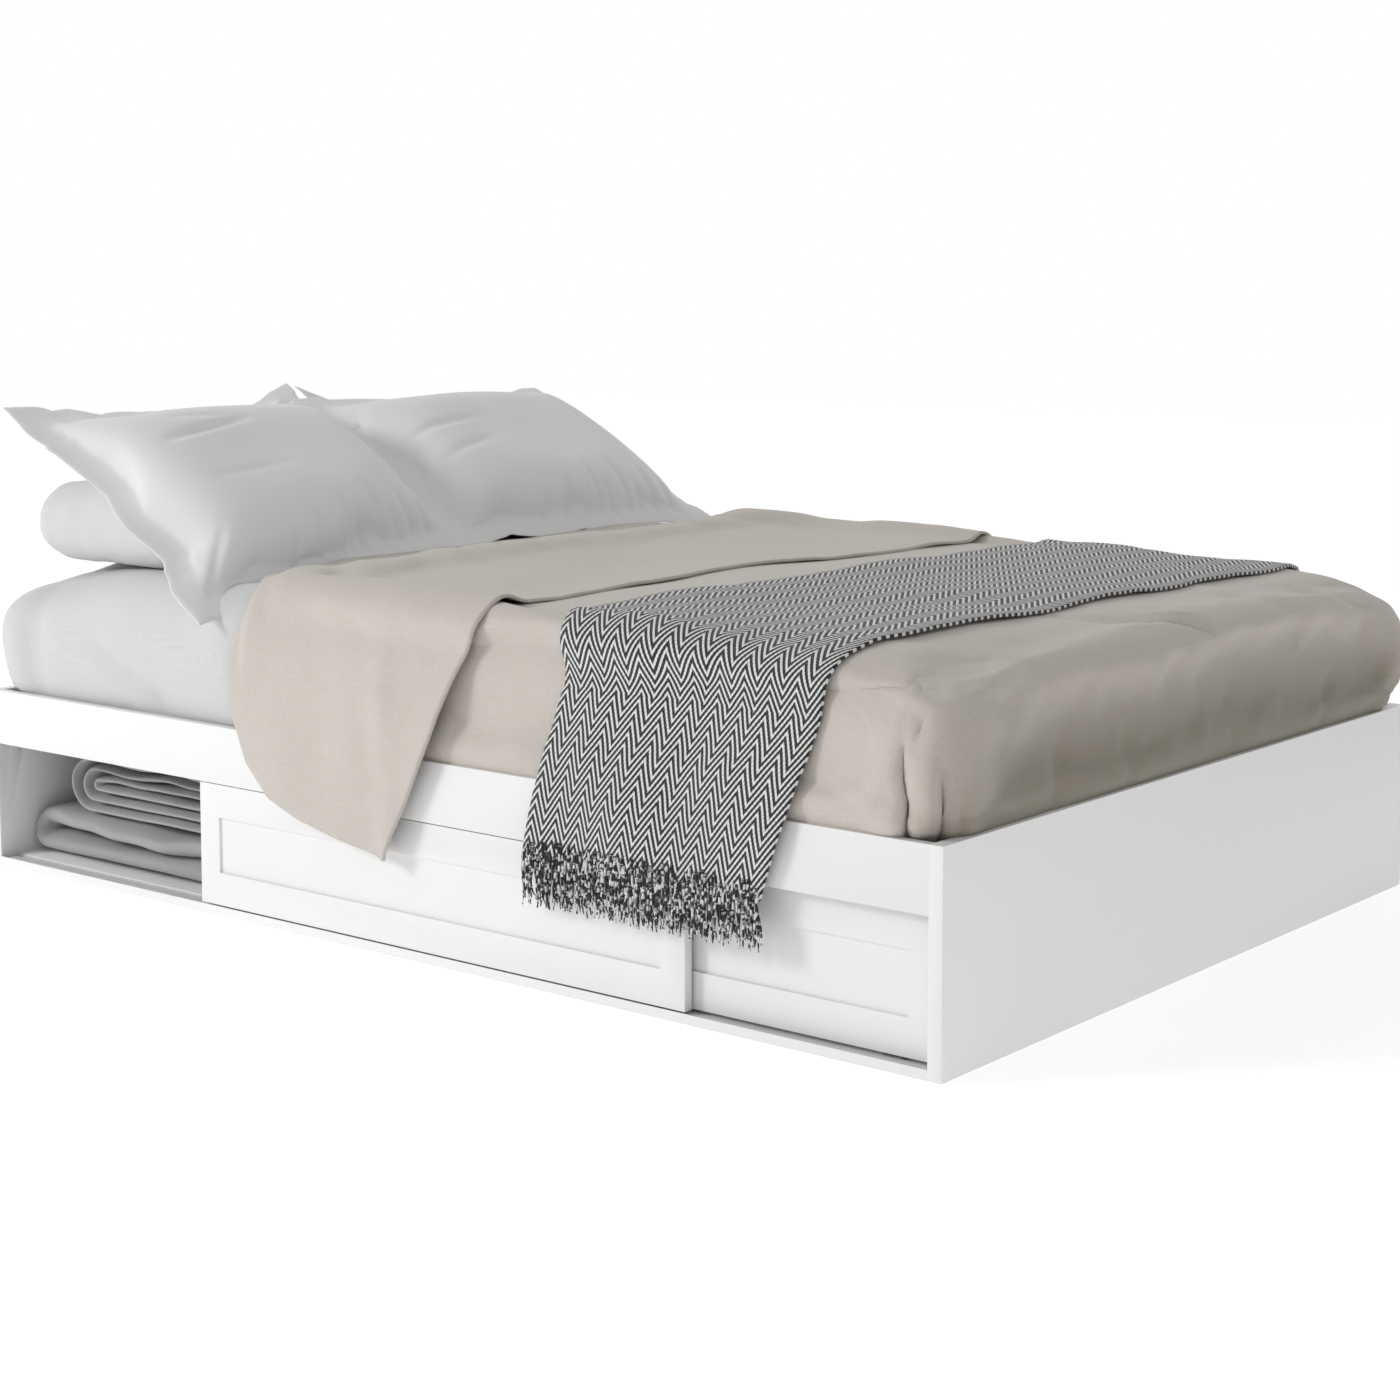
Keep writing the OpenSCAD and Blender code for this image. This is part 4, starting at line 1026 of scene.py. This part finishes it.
def pillow_bag(width, depth, nu, nv, start):
    """Height = start x root of cosine across x cosine along, above and below."""
    u, v = np.meshgrid(np.linspace(-1, 1, nu), np.linspace(-1, 1, nv), indexing="ij")
    rise = start * (np.cos(u * np.pi / 2) * np.cos(v * np.pi / 2)).clip(0) ** 0.5
    upper = np.stack([u * width / 2, v * depth / 2, rise], -1)
    return closed_bag(upper, upper * [1, 1, -1])


print("flat bag ready")

# %% Stuffed shapes
PILLOW_W, PILLOW_D, HEM, RINGS = 0.62, 0.43, 0.046, 6
GRID_U, GRID_V = 96, 68


def calmed(points, nu, nv, lower_index, passes=14):
    """Averages each inner point with its neighbours, more in the middle than at the seam."""
    points = points.copy()
    depth = np.minimum(np.minimum(np.arange(nu), np.arange(nu)[::-1])[:, None],
                       np.minimum(np.arange(nv), np.arange(nv)[::-1])[None, :])
    share = (0.15 + 0.85 * smooth(depth, 1, 14))[1:-1, 1:-1, None]
    for index in (np.arange(nu * nv), lower_index):
        sheet = points[index].reshape(nu, nv, 3)
        for _ in range(passes):
            mean = (sheet[:-2, 1:-1] + sheet[2:, 1:-1] + sheet[1:-1, :-2] + sheet[1:-1, 2:]) / 4
            sheet[1:-1, 1:-1] += share * (mean - sheet[1:-1, 1:-1])
        points[index] = sheet.reshape(-1, 3)
    return points


def stuffed(seed, width, depth, pressure, nu=GRID_U, nv=GRID_V):
    """Points of a stuffed bag, upper then lower; without the solver, a domed shape."""
    points, faces, lower_index = pillow_bag(width, depth, nu, nv, 0.03)
    points[:, 2] += 0.0010 * waves(points, seed, 0.09)
    bag = to_mesh("bag", points, faces)
    solved = solve_cloth(bag, pressure, 24)
    bpy.data.objects.remove(bag)
    points = calmed(solved, nu, nv, lower_index)
    points[:, :2] *= [width, depth] / np.ptp(points[:, :2], axis=0)
    return points, lower_index


def hemmed(points, lower_index, nu=GRID_U, nv=GRID_V, half=0.0016):
    """Grows both grids outward by the hem, keeps them half apart, and closes them at the edge.

    Heights are root of (height squared + half squared), blurred so the body runs into the hem."""
    steps = [np.concatenate([np.arange(-RINGS, 0), np.zeros(n), np.arange(1, RINGS + 1)]) / RINGS
             for n in (nu, nv)]
    out_u, out_v = np.meshgrid(*steps, indexing="ij")
    share = np.maximum(np.abs(out_u), np.abs(out_v))
    sheets = []
    for index, way in ((np.arange(nu * nv), 1), (lower_index, -1)):
        sheet = np.pad(points[index].reshape(nu, nv, 3),
                       ((RINGS, RINGS), (RINGS, RINGS), (0, 0)), mode="edge")
        sheet[..., 0] += HEM * out_u
        sheet[..., 1] += HEM * out_v
        rise = way * np.sqrt((sheet[..., 2] * (1 - share)) ** 2 + half**2)
        flutter = 0.003 * waves(sheet * [1, 1, 0], 71, 0.22) * share
        sheet[..., 2] = blurred(rise, 30) * (share < 1) + flutter
        sheets.append(sheet)
    return closed_bag(*sheets)


SHAPES = {}
for shape, seed, pressure in (("one", 61, 3.2), ("two", 62, 2.8)):
    SHAPES[shape] = hemmed(*stuffed(seed, PILLOW_W, PILLOW_D, pressure))
print("stuffed shapes:",
      {name: np.round(np.ptp(made[0], axis=0), 3).tolist() for name, made in SHAPES.items()})

# %% Laying a pillow
def laid_pillow(name, shape, corner_points, thick, arch, node, mirror=False, sag=0.0, folds=()):
    """Lays a stuffed shape between four corners: foot-left, foot-right, head-left, head-right.

    The middle sheet is the two-way straight blend of the corners, arched along its normal by
    arch x (1 - u^2)(1 - v^2), and the pillow's own height is measured from it, times thick."""
    points, faces = SHAPES[shape][:2]
    points = points * [-1 if mirror else 1, 1, thick]
    for fold in folds:
        points[:, 2] -= np.where(points[:, 2] > 0.004, crease(points * [1, 1, 0], *fold), 0)
    faces = faces[:, ::-1] if mirror else faces
    u, v = points[:, 0] * 2 / (PILLOW_W + 2 * HEM), points[:, 1] * 2 / (PILLOW_D + 2 * HEM)
    a, b, c, d = (np.array(p, float) for p in corner_points)
    su, sv = ((u + 1) / 2)[:, None], ((v + 1) / 2)[:, None]
    sheet = (a * (1 - su) + b * su) * (1 - sv) + (c * (1 - su) + d * su) * sv
    normal = np.cross(b - a + d - c, c - a + d - b)
    normal /= np.linalg.norm(normal)
    dome = np.clip(1 - u**2, 0, 1) * np.clip(1 - v**2, 0, 1)
    laid = sheet + normal * (points[:, 2] + arch * dome)[:, None]
    laid[:, 2] -= sag * np.clip(1 - u**2, 0, 1) * np.clip((v + 1) / 2, 0, 1) ** 2
    body = to_mesh(name, laid, faces)
    add(body, "SUBSURF", levels=1, render_levels=1)
    finish_piece(body, PILLOW_COTTON, "pillow_cotton", "bed", node)
    return body


Z = BED_TOP
SEAM = -PILLOW_D / 2
GATHERS = [((x, SEAM + 0.002, 0), (x + tilt, SEAM + length, 0), 0.0065, 0.011)
           for x, tilt, length in
           ((-0.10, 0.02, 0.05), (-0.03, 0.015, 0.08), (0.02, 0.02, 0.06), (0.055, 0.00, 0.10),
            (0.09, -0.01, 0.07), (0.14, -0.02, 0.11), (0.18, -0.02, 0.06), (0.22, -0.03, 0.09),
            (0.26, -0.02, 0.07))]
LEFT_FOLDS = [((-0.20, 0.06, 0), (0.03, 0.10, 0), 0.007, 0.009),
              ((-0.16, 0.12, 0), (0.00, 0.11, 0), 0.006, 0.003),
              ((-0.18, -0.04, 0), (0.02, -0.03, 0), 0.007, 0.003),
              ((-0.30, SEAM + 0.005, 0), (-0.22, SEAM + 0.09, 0), 0.008, 0.006),
              ((-0.28, SEAM + 0.005, 0), (-0.15, SEAM + 0.05, 0), 0.007, 0.005)]
RIGHT_FOLDS = [((-0.28, 0.02, 0), (-0.05, 0.06, 0), 0.009, 0.006),
               ((-0.25, -0.06, 0), (-0.08, -0.01, 0), 0.009, 0.005)]
SHAMS = [
    ("left_front", "one", 0.94, 0.02, {"folds": GATHERS + LEFT_FOLDS},
     [(-0.750, 0.395, Z - 0.066), (-0.015, 0.470, Z + 0.012),
      (-0.782, 0.90, Z + 0.290), (-0.06, 0.875, Z + 0.276)]),
    ("right_front", "two", 1.0, 0.02, {"folds": RIGHT_FOLDS + GATHERS},
     [(-0.09, 0.465, Z + 0.004), (0.66, 0.425, Z + 0.000),
      (-0.125, 0.885, Z + 0.280), (0.60, 0.90, Z + 0.278)]),
    ("left_back", "two", 0.55, 0.0, {"mirror": True, "sag": 0.03},
     [(-0.60, 0.72, Z + 0.10), (-0.02, 0.72, Z + 0.125),
      (-0.56, 0.985, Z + 0.19), (-0.05, 0.975, Z + 0.305)]),
    ("right_back", "one", 0.55, 0.0, {"sag": 0.06},
     [(0.0, 0.72, Z + 0.125), (0.68, 0.72, Z + 0.125),
      (-0.03, 0.985, Z + 0.302), (0.66, 0.985, Z + 0.272)]),
]
for place, shape, thick, arch, extra, corner_points in SHAMS:
    laid_pillow(f"{place}_sham", shape, corner_points, thick, arch, f"{place}_pillow", **extra)
print("pillows in shams:", len(SHAMS))

# %% Flat pillows
FLAT_LOW, FLAT_HIGH = np.array([0.025, 0.60, Z + 0.003]), np.array([0.655, 0.995, Z + 0.140])
FLAT_ROUND, FLAT_CROWN = 0.066, 0.010


def flat_pillow(side, way):
    """A rounded box, crowned by a half sine along the bed; way -1 mirrors it to the left."""
    points, faces = box_skin(FLAT_LOW, FLAT_HIGH, 0.014, 0.009)
    points, away = soften(points, FLAT_LOW, FLAT_HIGH, FLAT_ROUND)
    along = (points[:, 1] - FLAT_LOW[1]) / (FLAT_HIGH[1] - FLAT_LOW[1])
    crown = FLAT_CROWN * np.clip(away[:, 2], 0, 1) * np.sin(np.pi * along)
    slack = 0.0020 * waves(points, 75, 0.10) + 0.0006 * waves(points, 76, 0.04)
    points = (points + away * (crown + slack)[:, None]) * [way, 1, 1]
    made = to_mesh(f"{side}_flat_pillow_cover", points, faces if way > 0 else faces[:, ::-1])
    # Painted shade: the flat pillows take the darker copy of the pillow cotton.
    finish_piece(made, FLAT_COTTON_PAINTED_SHADE, "pillow_cotton", "bed", f"{side}_flat_pillow")


flat_pillow("left", -1)
flat_pillow("right", 1)
print("flat pillows laid")

# %% [markdown]
# ## Folded blankets
# Two folded bedcovers lie in the open compartment. A folded cloth seen from its edge is a stack
# of U-turns, one inside the other, so each is a thick strip swept along a U-shaped path: along
# one layer, round the fold at the head end, and back along the next.

# %% Swept folds
def fold_strip(foot_y, fold_y, low_z, high_z, x0, x1, thick, seed, rough=0.004, steps=60, around=24):
    """A thick strip along a U: back on the lower layer, round a half circle, out on the upper one."""
    radius = (high_z - low_z) / 2
    straight = np.linspace(0, 1, steps)
    turn = np.linspace(-np.pi / 2, np.pi / 2, steps // 2)
    run = fold_y - radius - foot_y
    y = np.concatenate([foot_y + run * straight, fold_y - radius + radius * np.cos(turn),
                        foot_y + run * straight[::-1]])
    z = np.concatenate([np.full(steps, low_z), (low_z + high_z) / 2 + radius * np.sin(turn),
                        np.full(steps, high_z)])
    ny = np.concatenate([0 * straight, np.cos(turn), 0 * straight])
    nz = np.concatenate([-1 + 0 * straight, np.sin(turn), 1 + 0 * straight])
    angle = np.linspace(0, 2 * np.pi, around, endpoint=False)
    px = np.sign(np.cos(angle)) * np.abs(np.cos(angle)) ** 0.35
    pn = np.sign(np.sin(angle)) * np.abs(np.sin(angle)) ** 0.8
    middle, half = (x0 + x1) / 2, (x1 - x0) / 2
    spot = np.stack(np.broadcast_arrays(middle + half * px[None], y[:, None], z[:, None]), -1).copy()
    wobble = waves(spot, seed, 0.16) * rough
    spot[..., 0] += 2.2 * wobble * np.abs(px)[None] ** 4
    push = pn[None] * thick / 2 + wobble
    spot[..., 1] += ny[:, None] * push
    spot[..., 2] += nz[:, None] * push
    faces = grid_faces(len(y), around, wrap_columns=True)
    return spot.reshape(-1, 3), faces, around


def folded(name, strips, node):
    """Joins the strips into one piece, closing each strip's two ends with one face."""
    points, faces, count = [], [], 0
    for strip_points, strip_faces, around in strips:
        points.append(strip_points)
        ends = [np.arange(around)[::-1], np.arange(around) + len(strip_points) - around]
        faces += (strip_faces + count).tolist() + [(end + count).tolist() for end in ends]
        count += len(strip_points)
    mesh = bpy.data.meshes.new(name)
    mesh.from_pydata(np.concatenate(points).tolist(), [], faces)
    mesh.shade_smooth()
    made = bpy.data.objects.new(name, mesh)
    bpy.context.scene.collection.objects.link(made)
    work = bmesh.new()
    work.from_mesh(mesh)
    bmesh.ops.recalc_face_normals(work, faces=work.faces)
    work.to_mesh(mesh)
    work.free()
    add(made, "SUBSURF", levels=1, render_levels=1)
    # Painted shade: the blankets' dark grey cotton stands for the compartment's shade.
    finish_piece(made, BLANKET_COTTON_PAINTED_SHADE, "blanket_cotton", "bed", node)
    return made


low_box, low_top = corners("lower_folded_blanket")
up_box, up_top = corners("upper_folded_blanket")
LOWER_THICK, LOWER_INSET = 0.040, 0.022
UPPER_STEP, UPPER_ROUGH = 0.026, 0.0022
folded("lower_folded_bedcover",
       [fold_strip(low_box[1], low_top[1], low_box[2] + LOWER_INSET, low_top[2] - LOWER_INSET,
                   low_box[0], low_top[0], LOWER_THICK, 81)],
       "lower_folded_blanket")
layers = 3
gap = (up_top[2] - up_box[2]) / (2 * layers)
folded("upper_folded_bedcover",
       [fold_strip(up_box[1], up_top[1] - i * UPPER_STEP,
                   up_box[2] + gap * (i + 0.5), up_top[2] - gap * (i + 0.5),
                   up_box[0] + 0.004 * i, up_top[0], gap * 0.92, 90 + i, UPPER_ROUGH)
        for i in range(layers)],
       "upper_folded_blanket")
print("folded blankets:", layers + 1, "strips")

# %% [markdown]
# ## The floor
# A plain pale floor that runs on past the view, with only the bed's own soft shadow on it.

# %% Floor
FLOOR_HALF, FLOOR_GLOW = 14.0, 0.42


def pale_floor():
    """One square face with a faint slow tint, lit a little by itself so that it stays pale."""
    points = [(x * FLOOR_HALF, y * FLOOR_HALF, 0) for x, y in ((-1, -1), (1, -1), (1, 1), (-1, 1))]
    made = to_mesh("floor", points, [(0, 1, 2, 3)])
    f = Finish("pale_floor", Roughness=0.9, Specular_IOR_Level=0.1, Emission_Strength=FLOOR_GLOW,
               Emission_Color=(1.0, 1.0, 1.0, 1.0))
    f.colour(f.mix(f.noise(f.place(), 0.6, 2.0), (0.93, 0.93, 0.93), (0.90, 0.90, 0.90)))
    made.data.materials.append(f.material)
    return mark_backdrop(made)


pale_floor()
print("floor laid")

# %% Scene built
print("scene built")
